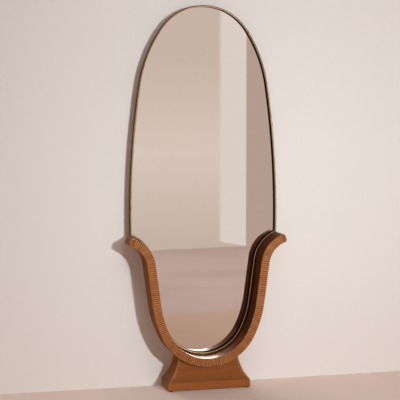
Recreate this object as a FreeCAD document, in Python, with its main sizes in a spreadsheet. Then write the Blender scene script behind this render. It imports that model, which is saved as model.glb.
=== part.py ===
import FreeCAD, Part

import math
import os
from types import SimpleNamespace

from FreeCAD import Placement, Rotation, Vector

# Dressing mirror: a tall arch-topped mirror in a slim brass channel frame, held in a fluted
# wooden lyre-shaped cradle that stands on a waisted foot.
# Millimetres, +X to the right, +Y to the wall behind, +Z up. The origin is on the floor,
# midway between the plinth's sides and midway between its front and its back.

# Driving dimensions: alias, value, what it is
DIMENSIONS = [
    ("overall_height", "1900", "floor to the crown of the frame"),
    ("plinth_width", "420", "width of the plinth board"),
    ("plinth_depth", "158", "depth of the plinth board, front edge to the wall"),
    ("plinth_height", "38", "thickness of the plinth board"),
    ("plinth_edge", "1.5", "eased edge of the plinth board"),
    ("waist_width", "304", "width of the neck under the bow"),
    ("waist_depth", "110", "depth of the neck under the bow"),
    ("side_cove_radius", "222", "hollow of the neck's two sides"),
    ("face_cove_radius", "340", "hollow of the neck's front and back"),
    ("saddle_clearance", "0.2", "glue line between the neck's saddle and the bow"),
    ("bow_lift", "72", "top of the plinth to the underside of the bow"),
    ("cradle_depth", "132", "depth of the wooden cradle with its facing"),
    ("cradle_setback", "4", "cradle's front behind the plinth's front edge"),
    ("facing_thickness", "8", "thickness of the fluted facing"),
    ("arm_width", "41", "thickness of the cradle seen from the front"),
    ("tip_reach", "59.4", "centre of the outward curl beyond the frame's widest side"),
    ("bow_angle", "62.9", "half angle of the bow, from straight down, in degrees"),
    ("flank_radius", "482", "inner radius of the arm above the bow"),
    ("arm_lean", "82.5", "steepness of the arm's straight run, in degrees"),
    ("arm_straight", "200", "length of the arm's straight run"),
    ("curl_radius", "168", "radius of the outward curl, on its upper face"),
    ("tip_angle", "15.5", "steepness of the curl where it ends, in degrees"),
    ("tip_top_round", "14", "rounding of the tip's upper corner"),
    ("tip_low_round", "8", "rounding of the tip's lower corner"),
    ("flute_pitch", "9.8", "spacing of the flutes along the middle of the facing"),
    ("flute_width", "4.4", "width of a flute at the surface"),
    ("flute_depth", "2", "depth of a flute"),
    ("flute_margin", "18", "plain length at the tip of each arm"),
    ("dowel_radius", "5", "beech dowels between the bow and the arms"),
    ("dowel_length", "60", "length of a dowel"),
    ("dowel_spacing", "66", "spacing of the two dowels of a joint"),
    ("frame_width", "754", "widest width of the brass frame"),
    ("widest_height", "860", "height at which the frame is widest"),
    ("crown_radius", "266", "radius of the arch at the crown"),
    ("crown_angle", "55.6", "half angle of the crown's arc, in degrees"),
    ("shoulder_angle", "81.4", "angle from upright where a shoulder meets its side, in degrees"),
    ("shadow_gap", "4", "gap between the frame and the cradle"),
    ("lip_width", "8", "front lip of the frame"),
    ("lip_thickness", "2", "thickness of the front lip"),
    ("wall_thickness", "2", "thickness of the frame's side wall"),
    ("flange_width", "18", "back flange of the frame"),
    ("flange_thickness", "2", "thickness of the back flange"),
    ("recess_depth", "18", "front of the lip to the face of the glass"),
    ("glass_thickness", "4", "silvered glass"),
    ("pad_space", "1.6", "between the glass and its backing board"),
    ("board_thickness", "4", "backing board"),
    ("service_gap", "2.4", "between the backing board and the back flange"),
    ("glass_clearance", "0.8", "glass to the frame's side wall"),
    ("board_clearance", "1", "backing board to the frame's side wall"),
    ("strip_width", "4.8", "black glazing strip"),
    ("fit", "0.2", "clearance of pieces that only lie against each other"),
    ("pad_length", "60", "foam pad"),
    ("pad_width", "20", "foam pad"),
    ("pad_column", "150", "foam pads from the middle of the glass"),
    ("clip_length", "44", "spring clip along the rail"),
    ("clip_width", "8", "spring clip across the rail"),
    ("clip_thickness", "0.5", "spring steel"),
    ("key_length", "50", "leg of a corner key"),
    ("key_width", "12", "width of a corner key's leg"),
    ("key_thickness", "2", "thickness of a corner key"),
    ("screw_radius", "2", "machine screws, M4"),
    ("head_radius", "3.8", "pan heads of all small screws"),
    ("head_height", "2.2", "pan heads of all small screws"),
    ("screw_clearance", "0.1", "screws in their holes"),
    ("wood_screw_radius", "1.75", "wood screws"),
    ("wood_screw_length", "20", "wood screws of the straps"),
    ("nut_width", "7", "square nuts in the channel"),
    ("nut_thickness", "2", "square nuts in the channel"),
    ("strap_width", "20", "steel straps that hold the frame in the cradle"),
    ("strap_thickness", "2", "thickness of a strap"),
    ("strap_reach", "34", "length of a strap on the cradle"),
    ("strap_screw_margin", "9", "screw centres from a strap's two ends"),
    ("seat_length", "44", "rubber seat between the frame and the cradle"),
    ("hanger_width", "12", "hanger plate"),
    ("hanger_length", "46", "hanger plate"),
    ("hanger_thickness", "1.4", "hanger plate"),
    ("hanger_screw_margin", "9", "hanger screw centres from the plate's top"),
    ("hanger_screw_spacing", "20", "spacing of the two hanger screws"),
    ("barrel_radius", "2.8", "rolled eye of a hanger plate"),
    ("barrel_length", "10", "rolled eye of a hanger plate"),
    ("ring_radius", "8", "centre line of a hanger ring"),
    ("ring_wire_radius", "1.2", "wire of a hanger ring"),
    ("hinge_clearance", "0.06", "ring wire in its rolled eye"),
    ("glide_radius", "12", "glide under the plinth"),
    ("glide_thickness", "4", "glide under the plinth"),
    ("glide_margin", "16", "glide centres from the plinth's edges"),
    ("glide_recess", "2.6", "recess for the head of a glide's screw"),
    ("glide_screw_length", "14", "screws of the glides"),
    ("bolt_radius", "4", "foot bolts, M8"),
    ("bolt_head_radius", "6.5", "foot bolts"),
    ("bolt_head_height", "8", "foot bolts"),
    ("bolt_clearance", "0.3", "foot bolts in the wood"),
    ("bolt_spacing_x", "140", "foot bolts across the foot"),
    ("bolt_spacing_y", "56", "foot bolts along the foot's depth"),
    ("counterbore_depth", "18", "recess for the bolt heads"),
    ("washer_radius", "9", "washers of the foot bolts"),
    ("washer_thickness", "1.6", "washers of the foot bolts"),
    ("insert_radius", "7", "threaded inserts in the bow"),
    ("insert_length", "18", "threaded inserts in the bow"),
    ("insert_cover", "4", "wood under an insert's mouth"),
    ("thread_clearance", "0.05", "threaded pieces in their holes"),
    ("overrun", "5", "how far cutting tools pass the wood"),
]

doc = FreeCAD.newDocument("dressing_mirror")
sheet = doc.addObject("Spreadsheet::Sheet", "Dims")
for row, (alias, value, meaning) in enumerate(DIMENSIONS, start=1):
    sheet.set(f"A{row}", value)
    sheet.setAlias(f"A{row}", alias)
    sheet.set(f"B{row}", meaning)
doc.recompute()
d = SimpleNamespace(**{alias: float(sheet.get(alias)) for alias, _, _ in DIMENSIONS})

# Levels along Y, from the front to the wall
plinth_back = d.plinth_depth / 2
cradle_front = d.cradle_setback - plinth_back
core_front = cradle_front + d.facing_thickness
cradle_back = cradle_front + d.cradle_depth
flange_front = cradle_back - d.flange_thickness
board_back = flange_front - d.service_gap
board_front = board_back - d.board_thickness
glass_back = board_front - d.pad_space
glass_front = glass_back - d.glass_thickness
lip_front = glass_front - d.recess_depth
lip_back = lip_front + d.lip_thickness
frame_depth = cradle_back - lip_front

# Levels along Z, from the floor
plinth_top = d.glide_thickness + d.plinth_height
bow_bottom = plinth_top + d.bow_lift
cradle_floor = bow_bottom + d.arm_width

TOLERANCE = 1e-6
parts = []
faults = []


# Plane geometry. Outlines are drawn in the front view: a point is Vector(x, z, 0).
def polar(centre, radius, angle):
    """Point at a radius and an angle counted from straight down towards +X."""
    turn = math.radians(angle)
    return centre + Vector(radius * math.sin(turn), -radius * math.cos(turn), 0)


def heading(angle):
    """Unit vector of a run that climbs at the given angle towards +X."""
    return Vector(math.cos(math.radians(angle)), math.sin(math.radians(angle)), 0)


def unit(vector):
    return vector / vector.Length


def line(start, end):
    return ("line", start, end)


def arc(centre, start, end):
    """The shorter arc about a centre from start to end, as three points."""
    radius = (start - centre).Length
    middle = centre + unit((start - centre) + (end - centre)) * radius
    return ("arc", start, middle, end)


def backwards(chain):
    return [(kind, *reversed(points)) for kind, *points in reversed(chain)]


def mirrored(chain):
    """The same chain on the other side of the middle plane, run the other way."""
    return [
        (kind, *(Vector(-point.x, point.y, 0) for point in points))
        for kind, *points in backwards(chain)
    ]


def closed(*chains):
    """One closed loop from chains, with straight lines where their ends are apart."""
    loop = []
    for chain in chains:
        if loop and (loop[-1][-1] - chain[0][1]).Length > TOLERANCE:
            loop.append(line(loop[-1][-1], chain[0][1]))
        loop.extend(chain)
    if (loop[-1][-1] - loop[0][1]).Length > TOLERANCE:
        loop.append(line(loop[-1][-1], loop[0][1]))
    return loop


def rectangle(low_x, low_y, high_x, high_y):
    corners = [Vector(low_x, low_y, 0), Vector(high_x, low_y, 0)]
    corners += [Vector(high_x, high_y, 0), Vector(low_x, high_y, 0)]
    return [line(corners[i - 1], corners[i]) for i in range(len(corners))]


def circles_meet(first, first_radius, second, second_radius, near):
    """The crossing of two circles that lies nearer to a given point."""
    across = second - first
    span = across.Length
    along = (span**2 + first_radius**2 - second_radius**2) / (2 * span)
    rise = math.sqrt(first_radius**2 - along**2)
    foot = first + across * (along / span)
    side = Vector(-across.y, across.x, 0) * (rise / span)
    return min((foot + side, foot - side), key=lambda point: (point - near).Length)


def edge_of(segment):
    kind, *points = segment
    return Part.LineSegment(*points) if kind == "line" else Part.Arc(*points)


def slab_of(loop, level, depth):
    """A solid from a loop in the front view, from a level along Y to a depth behind it."""
    edges = []
    for kind, *points in loop:
        turned = (Vector(point.x, level, point.y) for point in points)
        edges.append(edge_of((kind, *turned)).toShape())
    return Part.Face(Part.Wire(edges)).extrude(Vector(0, depth, 0))


# The bow's inner radius, which brings the curls to their place beside the frame
curl_x = d.frame_width / 2 + d.tip_reach
arm_x = (d.flank_radius + d.curl_radius) * heading(d.arm_lean).y
arm_x += d.arm_straight * heading(d.arm_lean).x
bow_radius = d.flank_radius + (curl_x - arm_x) / heading(d.bow_angle).y

# Centres of the arcs that make the cradle's inner face
bow_centre = Vector(0, cradle_floor + bow_radius, 0)
flank_centre = polar(bow_centre, bow_radius - d.flank_radius, d.bow_angle)
straight_run = heading(d.arm_lean) * d.arm_straight
curl_centre = polar(flank_centre, d.flank_radius + d.curl_radius, d.arm_lean) + straight_run


def bow_arc(out):
    """The bow from left to right, a distance outside the cradle's inner face."""
    middle = polar(bow_centre, bow_radius + out, 0)
    right = [arc(bow_centre, middle, polar(bow_centre, bow_radius + out, d.bow_angle))]
    return mirrored(right) + right


def arm_run(out, tip):
    """The right arm upwards from the bow to a tip point that lies on the same curve."""
    start = polar(flank_centre, d.flank_radius + out, d.bow_angle)
    bend = polar(flank_centre, d.flank_radius + out, d.arm_lean)
    top = bend + straight_run
    return [arc(flank_centre, start, bend), line(bend, top), arc(curl_centre, top, tip)]


def curl_point(out, angle):
    """Point of the curl where its steepness is the given angle."""
    return polar(curl_centre, out - d.curl_radius, angle)


# Radii that join the crown to the side where the frame is widest, and the arcs' centres
crown_run = heading(d.crown_angle)
shoulder_run = heading(d.shoulder_angle)
rise = d.overall_height - d.crown_radius - d.widest_height
spread = d.frame_width / 2 - d.crown_radius
turn = crown_run.x * (1 - shoulder_run.y) - shoulder_run.x * (1 - crown_run.y)
shoulder_step = (rise * (1 - shoulder_run.y) - spread * shoulder_run.x) / turn
side_step = (spread * crown_run.x - rise * (1 - crown_run.y)) / turn
side_radius = d.crown_radius + shoulder_step + side_step
crown_centre = Vector(0, d.overall_height - d.crown_radius, 0)
shoulder_centre = polar(crown_centre, shoulder_step, -d.crown_angle)
side_centre = polar(shoulder_centre, side_step, -d.shoulder_angle)


def corner(inset):
    """The frame's lower right corner, a distance inside its outer edge."""
    return circles_meet(
        side_centre,
        side_radius - inset,
        curl_centre,
        d.curl_radius + d.shadow_gap + inset,
        Vector(d.frame_width / 2, curl_centre.y + d.curl_radius, 0),
    )


def arch_run(inset):
    """The arch from the right corner over the crown to the left corner."""
    crown_end = polar(crown_centre, inset - d.crown_radius, -d.crown_angle)
    side_end = polar(side_centre, inset - side_radius, -d.shoulder_angle)
    top = Vector(0, d.overall_height - inset, 0)
    right = [
        arc(side_centre, corner(inset), side_end),
        arc(shoulder_centre, side_end, crown_end),
        arc(crown_centre, crown_end, top),
    ]
    return right + mirrored(right)


def tulip_run(inset):
    """The lower edge from the left corner round the bow to the right corner."""
    out = -d.shadow_gap - inset
    right = arm_run(out, corner(inset))
    return mirrored(right) + bow_arc(out) + right


def outline(inset):
    return closed(arch_run(inset), tulip_run(inset))


def band(run, outer_inset, inner_inset):
    """The strip of a rail between two insets, mitred at the frame's corners."""
    return closed(run(outer_inset), backwards(run(inner_inset)))


# Document objects
def bind(item, prop, value):
    """Bind a property to an expression, or give it a length worked out here."""
    if isinstance(value, str):
        item.setExpression(prop, value)
    else:
        setattr(item, prop, value)


def new_body(label):
    body = doc.addObject("PartDesign::Body", label)
    body.Label = label
    parts.append(body)
    return body


def add_sketch(body, role, loops, level):
    """Loops on one of the body's own planes, moved to a level along its normal axis."""
    plane = next(item for item in body.Origin.OriginFeatures if item.Role == role)
    sketch = body.newObject("Sketcher::SketchObject", f"{body.Name}_outline")
    sketch.AttachmentSupport = [(plane, "")]
    sketch.MapMode = "FlatFace"
    along_normal = -level if role == "XZ_Plane" else level
    sketch.AttachmentOffset = Placement(Vector(0, 0, along_normal), Rotation())
    for loop in loops:
        for segment in loop:
            sketch.addGeometry(edge_of(segment))
    return sketch


def add_pad(body, role, loops, level, length):
    """A pad from a level towards +Y, or towards +Z from the X Y plane."""
    feature = body.newObject("PartDesign::Pad", f"{body.Name}_pad")
    feature.Profile = add_sketch(body, role, loops, level)
    bind(feature, "Length", length)
    feature.Reversed = role == "XZ_Plane"
    doc.recompute()
    return feature


def add_round_bar(body, start, direction, radius, length, cut=False):
    """A round bar along a direction, or with cut the round hole that it would fill."""
    kind = "PartDesign::SubtractiveCylinder" if cut else "PartDesign::AdditiveCylinder"
    volume = body.Shape.Volume if cut else 0
    bar = body.newObject(kind, f"{body.Name}_bar")
    bind(bar, "Radius", radius)
    bind(bar, "Height", length)
    bar.Placement = Placement(start, Rotation(Vector(0, 0, 1), direction))
    doc.recompute()
    if cut and body.Shape.Volume > volume - TOLERANCE:
        faults.append(f"{bar.Name} cuts nothing")


def drill(body, start, direction, radius, depth):
    add_round_bar(body, start, direction, radius, depth, cut=True)


def edges_over(shape, point):
    """Numbers of the edges that run straight back from a point of the front view."""
    found = []
    for index, edge in enumerate(shape.Edges):
        ends = [Vector(vertex.X, vertex.Z, 0) for vertex in edge.Vertexes]
        if all((end - point).Length < d.fit for end in ends):
            found.append(index)
    return found


def add_fillet(body, base, numbers, radius):
    feature = body.newObject("PartDesign::Fillet", f"{body.Name}_round")
    feature.Base = (base, [f"Edge{number + 1}" for number in numbers])
    feature.setExpression("Radius", radius)
    doc.recompute()
    return feature


def new_shape(label, shape):
    """A sub-part whose shape comes from plain solids."""
    feature = doc.addObject("Part::Feature", label)
    feature.Label = label
    feature.Shape = shape
    parts.append(feature)
    return feature


def cylinder(name, radius, height):
    solid = doc.addObject("Part::Cylinder", name)
    bind(solid, "Radius", radius)
    bind(solid, "Height", height)
    return solid


def screw(name, radius, length, head_radius="Dims.head_radius", head_height="Dims.head_height"):
    """A screw with a round head: the head on +Z, the shank on -Z, the head's seat at zero."""
    whole = doc.addObject("Part::Fuse", name)
    whole.Base = cylinder(f"{name}_head", head_radius, head_height)
    whole.Tool = cylinder(f"{name}_shank", radius, length)
    whole.Tool.setExpression("Placement.Base.z", f"-{name}_shank.Height")
    doc.recompute()
    return whole


def tube(name, outer, inner, height):
    whole = doc.addObject("Part::Cut", name)
    whole.Base = cylinder(f"{name}_outside", outer, height)
    whole.Tool = cylinder(f"{name}_bore", inner, height)
    doc.recompute()
    return whole


def copies(master, placements):
    """Separate solids, one copy of the master at each placement."""
    solids = []
    for place in placements:
        solids.extend(master.Shape.transformed(place.toMatrix(), True).Solids)
    return Part.makeCompound(solids)


def at(x, y, z):
    return Placement(Vector(x, y, z), Rotation())


up = Vector(0, 0, 1)
to_front = Vector(0, -1, 0)
head_down = Rotation(Vector(1, 0, 0), 180)
head_to_wall = Rotation(up, Vector(0, 1, 0))


# Stations on the frame's outer edge: a point, and the direction into the mirror
def flipped(spot):
    point, inward = spot
    return Vector(-point.x, point.y, 0), Vector(-inward.x, inward.y, 0)


def seat(spot):
    """Placement at a station: local +X runs into the mirror, local Z along the rail."""
    point, inward = spot
    turn = math.degrees(math.atan2(-inward.y, inward.x))
    return Placement(Vector(point.x, 0, point.y), Rotation(Vector(0, 1, 0), turn))


def side_station(height):
    rise = height - side_centre.y
    point = side_centre + Vector(math.sqrt(side_radius**2 - rise**2), rise, 0)
    return point, unit(side_centre - point)


def crown_station(angle):
    """A station on the crown, at an angle from straight up."""
    point = polar(crown_centre, -d.crown_radius, angle)
    return point, unit(crown_centre - point)


def bow_station(angle):
    point = polar(bow_centre, bow_radius - d.shadow_gap, angle)
    return point, unit(bow_centre - point)


def flank_station(angle):
    point = polar(flank_centre, d.flank_radius - d.shadow_gap, angle)
    return point, unit(flank_centre - point)


def curl_station(angle):
    point = polar(curl_centre, -d.curl_radius - d.shadow_gap, angle)
    return point, unit(point - curl_centre)


# Foot: plinth board
half_width = d.plinth_width / 2
half_waist = d.waist_width / 2
bolt_places = [
    Vector(x * d.bolt_spacing_x / 2, y * d.bolt_spacing_y / 2, 0) for x in (-1, 1) for y in (-1, 1)
]
glide_x = half_width - d.glide_margin
glide_y = plinth_back - d.glide_margin
glide_places = {
    "glide_front_left": Vector(-glide_x, -glide_y, 0),
    "glide_front_right": Vector(glide_x, -glide_y, 0),
    "glide_rear_left": Vector(-glide_x, glide_y, 0),
    "glide_rear_right": Vector(glide_x, glide_y, 0),
}
glide_top = up * d.glide_thickness

plinth = new_body("foot_plinth")
plinth_outline = rectangle(-half_width, -plinth_back, half_width, plinth_back)
plinth_pad = add_pad(plinth, "XY_Plane", [plinth_outline], d.glide_thickness, "Dims.plinth_height")
eased = [
    number
    for number, edge in enumerate(plinth_pad.Shape.Edges)
    if edge.BoundBox.ZMin < plinth_top - d.fit
]
add_fillet(plinth, plinth_pad, eased, "Dims.plinth_edge")
for place in bolt_places:
    drill(
        plinth,
        place + glide_top,
        up,
        "Dims.washer_radius + Dims.bolt_clearance",
        "Dims.counterbore_depth",
    )
    drill(
        plinth, place + glide_top, up, "Dims.bolt_radius + Dims.bolt_clearance", "Dims.plinth_height"
    )
for place in glide_places.values():
    drill(
        plinth,
        place + glide_top,
        up,
        "Dims.wood_screw_radius + Dims.thread_clearance",
        "Dims.glide_screw_length",
    )

# Foot: neck, with hollow sides, a hollow front and back, and a saddle for the bow
outer_radius = bow_radius + d.arm_width
saddle_radius = outer_radius + d.saddle_clearance
waist_top = Vector(half_waist, bow_centre.y - math.sqrt(saddle_radius**2 - half_waist**2), 0)
neck_foot = Vector(half_width, plinth_top, 0)


def cove(top, bottom, radius):
    """A hollow arc of a given radius from a top point out to a lower point."""
    chord = bottom - top
    reach = math.sqrt(radius**2 - (chord.Length / 2) ** 2)
    centre = (top + bottom) / 2 + unit(Vector(-chord.y, chord.x, 0)) * reach
    return arc(centre, top, bottom)


side_cove = [cove(waist_top, neck_foot, d.side_cove_radius)]
saddle_start = Vector(-half_waist, waist_top.y, 0)
saddle = [arc(bow_centre, saddle_start, waist_top)]
neck = new_body("foot_neck")
neck_loop = closed(saddle, side_cove, mirrored(side_cove))
add_pad(neck, "XZ_Plane", [neck_loop], -plinth_back, "Dims.plinth_depth")
back_top = Vector(d.waist_depth / 2, waist_top.y, 0)
back_foot = Vector(plinth_back, plinth_top, 0)
clear_y = plinth_back + d.overrun
clear_z = waist_top.y + d.overrun
back_waste = closed(
    [cove(back_top, back_foot, d.face_cove_radius)],
    [line(Vector(clear_y, plinth_top, 0), Vector(clear_y, clear_z, 0))],
    [line(Vector(back_top.x, clear_z, 0), back_top)],
)
neck_volume = neck.Shape.Volume
hollows = neck.newObject("PartDesign::Pocket", "foot_neck_hollows")
hollows.Profile = add_sketch(neck, "YZ_Plane", [back_waste, mirrored(back_waste)], 0)
hollows.SideType = "Symmetric"
hollows.setExpression("Length", "Dims.plinth_width + Dims.overrun")
doc.recompute()
if neck.Shape.Volume > neck_volume - TOLERANCE:
    faults.append("the neck's hollows cut nothing")
neck_hole = "Dims.bolt_radius + Dims.bolt_clearance"
for place in bolt_places:
    drill(neck, place + up * plinth_top, up, neck_hole, "Dims.plinth_width")

# Foot: glides and their screws
for name, place in glide_places.items():
    glide = new_body(name)
    add_round_bar(glide, place, up, "Dims.glide_radius", "Dims.glide_thickness")
    drill(glide, place, up, "Dims.head_radius + Dims.fit", "Dims.glide_recess")
    drill(glide, place, up, "Dims.wood_screw_radius + Dims.fit", "Dims.glide_thickness")
glide_screw = screw("glide_screw", "Dims.wood_screw_radius", "Dims.glide_screw_length")
glide_screw_places = [
    Placement(place + up * d.glide_recess, head_down) for place in glide_places.values()
]
new_shape("glide_screws", copies(glide_screw, glide_screw_places))

# Cradle: bow and arms, cut from thick board behind the facing
core_depth = "Dims.cradle_depth - Dims.facing_thickness"
bow = new_body("cradle_bow")
bow_loop = closed(bow_arc(0), backwards(bow_arc(d.arm_width)))
add_pad(bow, "XZ_Plane", [bow_loop], core_front, core_depth)

arm_loop = closed(
    arm_run(0, curl_point(0, d.tip_angle)),
    backwards(arm_run(d.arm_width, curl_point(d.arm_width, d.tip_angle))),
)
tip_corners = {
    "tip_top_round": curl_point(0, d.tip_angle),
    "tip_low_round": curl_point(d.arm_width, d.tip_angle),
}
arms = {}
for name, flip in (("cradle_arm_left", -1), ("cradle_arm_right", 1)):
    arm = new_body(name)
    arms[flip] = arm
    loop = arm_loop if flip == 1 else mirrored(arm_loop)
    tip = add_pad(arm, "XZ_Plane", [loop], core_front, core_depth)
    for radius, point in tip_corners.items():
        numbers = edges_over(tip.Shape, Vector(flip * point.x, point.y, 0))
        tip = add_fillet(arm, tip, numbers, f"Dims.{radius}")

# Cradle: dowels across the joints between the bow and the arms
joint = polar(bow_centre, bow_radius + d.arm_width / 2, d.bow_angle)
core_middle = (core_front + cradle_back) / 2
dowel = cylinder("dowel", "Dims.dowel_radius", "Dims.dowel_length")
doc.recompute()
dowel_hole = "Dims.dowel_radius + Dims.thread_clearance"
dowel_depth = "Dims.dowel_length / 2 + Dims.fit"
dowel_places = []
for flip, arm in arms.items():
    along = heading(d.bow_angle)
    run = Vector(flip * along.x, 0, along.y)
    for offset in (-d.dowel_spacing / 2, d.dowel_spacing / 2):
        middle = Vector(flip * joint.x, core_middle + offset, joint.y)
        drill(arm, middle, run, dowel_hole, dowel_depth)
        drill(bow, middle, -run, dowel_hole, dowel_depth)
        dowel_places.append(Placement(middle - run * (d.dowel_length / 2), Rotation(up, run)))
new_shape("arm_dowels", copies(dowel, dowel_places))


# Cradle: fluted facing, with flutes square to its run
def flutes_on_arc(centre, radius, first, last):
    """Middles and outward directions of the flutes on an arc of the facing."""
    count = max(1, round(math.radians(abs(last - first)) * abs(radius) / d.flute_pitch))
    spots = []
    for number in range(count):
        angle = first + (last - first) * (number + 0.5) / count
        middle = polar(centre, radius, angle)
        spots.append((middle, unit(polar(centre, abs(radius), angle) - centre)))
    return spots


half_arm = d.arm_width / 2
bow_flutes = flutes_on_arc(bow_centre, bow_radius + half_arm, -d.bow_angle, d.bow_angle)
plain_turn = math.degrees(d.flute_margin / (d.curl_radius - half_arm))
arm_flutes = flutes_on_arc(flank_centre, d.flank_radius + half_arm, d.bow_angle, d.arm_lean)
straight_start = polar(flank_centre, d.flank_radius + half_arm, d.arm_lean)
straight_out = unit(straight_start - flank_centre)
straight_count = max(1, round(d.arm_straight / d.flute_pitch))
arm_flutes += [
    (straight_start + straight_run * ((number + 0.5) / straight_count), straight_out)
    for number in range(straight_count)
]
arm_flutes += flutes_on_arc(
    curl_centre, half_arm - d.curl_radius, d.arm_lean, d.tip_angle + plain_turn
)


def flute_tool(spot):
    """A three-sided bar across the facing that leaves a flute in its front."""
    middle, outward = spot
    out = Vector(outward.x, 0, outward.y)
    along = Vector(-outward.y, 0, outward.x)
    start = Vector(middle.x, cradle_front, middle.y) - out * (half_arm + d.overrun)
    proud = start - Vector(0, d.flute_depth, 0)
    corners = [
        proud - along * d.flute_width,
        proud + along * d.flute_width,
        start + Vector(0, d.flute_depth, 0),
    ]
    section = Part.Face(Part.makePolygon([*corners, corners[0]]))
    return section.extrude(out * (d.arm_width + 2 * d.overrun))


def facing(slab, spots):
    return slab.cut([flute_tool(spot) for spot in spots]).Solids[0]


bow_slab = slab_of(bow_loop, cradle_front, d.facing_thickness)
new_shape("facing_bow", facing(bow_slab, bow_flutes))
for name, flip in (("facing_arm_left", -1), ("facing_arm_right", 1)):
    loop = arm_loop if flip == 1 else mirrored(arm_loop)
    spots = arm_flutes if flip == 1 else [flipped(spot) for spot in arm_flutes]
    slab = slab_of(loop, cradle_front, d.facing_thickness)
    for radius, point in tip_corners.items():
        numbers = edges_over(slab, Vector(flip * point.x, point.y, 0))
        slab = slab.makeFillet(getattr(d, radius), [slab.Edges[number] for number in numbers])
    new_shape(name, facing(slab, spots))

# Foot: inserts in the bow, bolts and washers
bolt_seat = d.glide_thickness + d.counterbore_depth - d.washer_thickness
bow_under_bolt = bow_centre.y - math.sqrt(outer_radius**2 - (d.bolt_spacing_x / 2) ** 2)
insert_base = bow_under_bolt + d.insert_cover
insert_hole_depth = insert_base + d.insert_length - bow_bottom
bolt_length = insert_base + d.insert_length - d.thread_clearance - bolt_seat
for place in bolt_places:
    start = place + up * bow_bottom
    drill(bow, start, up, "Dims.insert_radius + Dims.thread_clearance", insert_hole_depth)
insert = tube(
    "insert", "Dims.insert_radius", "Dims.bolt_radius + Dims.thread_clearance", "Dims.insert_length"
)
washer = tube(
    "washer", "Dims.washer_radius", "Dims.bolt_radius + Dims.bolt_clearance", "Dims.washer_thickness"
)
bolt = screw(
    "bolt", "Dims.bolt_radius", bolt_length, "Dims.bolt_head_radius", "Dims.bolt_head_height"
)
new_shape("threaded_inserts", copies(insert, [at(p.x, p.y, insert_base) for p in bolt_places]))
new_shape("bolt_washers", copies(washer, [at(p.x, p.y, bolt_seat) for p in bolt_places]))
bolt_seats = [Placement(place + up * bolt_seat, head_down) for place in bolt_places]
new_shape("foot_bolts", copies(bolt, bolt_seats))

# Mirror: glass, backing board, and the black strip that holds the glass back from the lip
glass = new_body("mirror_glass")
glass_loop = outline(d.wall_thickness + d.glass_clearance)
add_pad(glass, "XZ_Plane", [glass_loop], glass_front, "Dims.glass_thickness")
board = new_body("backing_board")
board_loop = outline(d.wall_thickness + d.board_clearance)
add_pad(board, "XZ_Plane", [board_loop], board_front, "Dims.board_thickness")
strip = new_body("glazing_strip")
strip_loops = [
    outline(d.wall_thickness + d.fit),
    outline(d.wall_thickness + d.fit + d.strip_width),
]
strip_depth = "Dims.recess_depth - Dims.lip_thickness - 2 * Dims.fit"
add_pad(strip, "XZ_Plane", strip_loops, lip_back + d.fit, strip_depth)

pad_depth = d.pad_space - 2 * d.fit
pad_shares = (0.05, 0.33, 0.6, 0.88)
pad_reach = crown_centre.y - bow_centre.y
foam_pads = []
for side in (-1, 1):
    for share in pad_shares:
        middle = Vector(side * d.pad_column, bow_centre.y + share * pad_reach, 0)
        reach = Vector(d.pad_width / 2, d.pad_length / 2, 0)
        low, high = middle - reach, middle + reach
        loop = rectangle(low.x, low.y, high.x, high.y)
        foam_pads.append(slab_of(loop, glass_back + d.fit, pad_depth))
new_shape("foam_pads", Part.makeCompound(foam_pads))

# Frame: arch rail and tulip rail, brass channel with a front lip and a back flange
wall_depth = (
    "Dims.recess_depth + Dims.glass_thickness + Dims.pad_space + Dims.board_thickness"
    " + Dims.service_gap + Dims.flange_thickness"
)
rails = {}
for name, run in (("frame_arch_rail", arch_run), ("frame_tulip_rail", tulip_run)):
    rail = new_body(name)
    rails[name] = rail
    lip_loop = band(run, 0, d.lip_width)
    wall_loop = band(run, 0, d.wall_thickness)
    flange_loop = band(run, 0, d.flange_width)
    add_pad(rail, "XZ_Plane", [lip_loop], lip_front, "Dims.lip_thickness")
    add_pad(rail, "XZ_Plane", [wall_loop], lip_front, wall_depth)
    add_pad(rail, "XZ_Plane", [flange_loop], flange_front, "Dims.flange_thickness")
arch_rail = rails["frame_arch_rail"]
tulip_rail = rails["frame_tulip_rail"]

# Frame: corner keys behind the board, screwed through the back flange
flange_middle = d.flange_width / 2
key_outer = d.wall_thickness + d.fit
key_inner = key_outer + d.key_width
corner_spoke = corner(0) - curl_centre
corner_angle = math.degrees(math.atan2(-corner_spoke.x, corner_spoke.y))
key_turn = math.degrees(d.key_length / d.curl_radius)
screw_hole = "Dims.screw_radius + Dims.screw_clearance"
leg_share = 0.65


def key_top(inset):
    """Top of a key's upright leg, on the frame's side."""
    rise = corner(0).y + d.key_length - side_centre.y
    return side_centre + Vector(math.sqrt((side_radius - inset) ** 2 - rise**2), rise, 0)


def key_end(inset):
    """End of a key's lower leg, on the curl."""
    radius = d.curl_radius + d.shadow_gap + inset
    return polar(curl_centre, -radius, corner_angle + key_turn)


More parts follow.
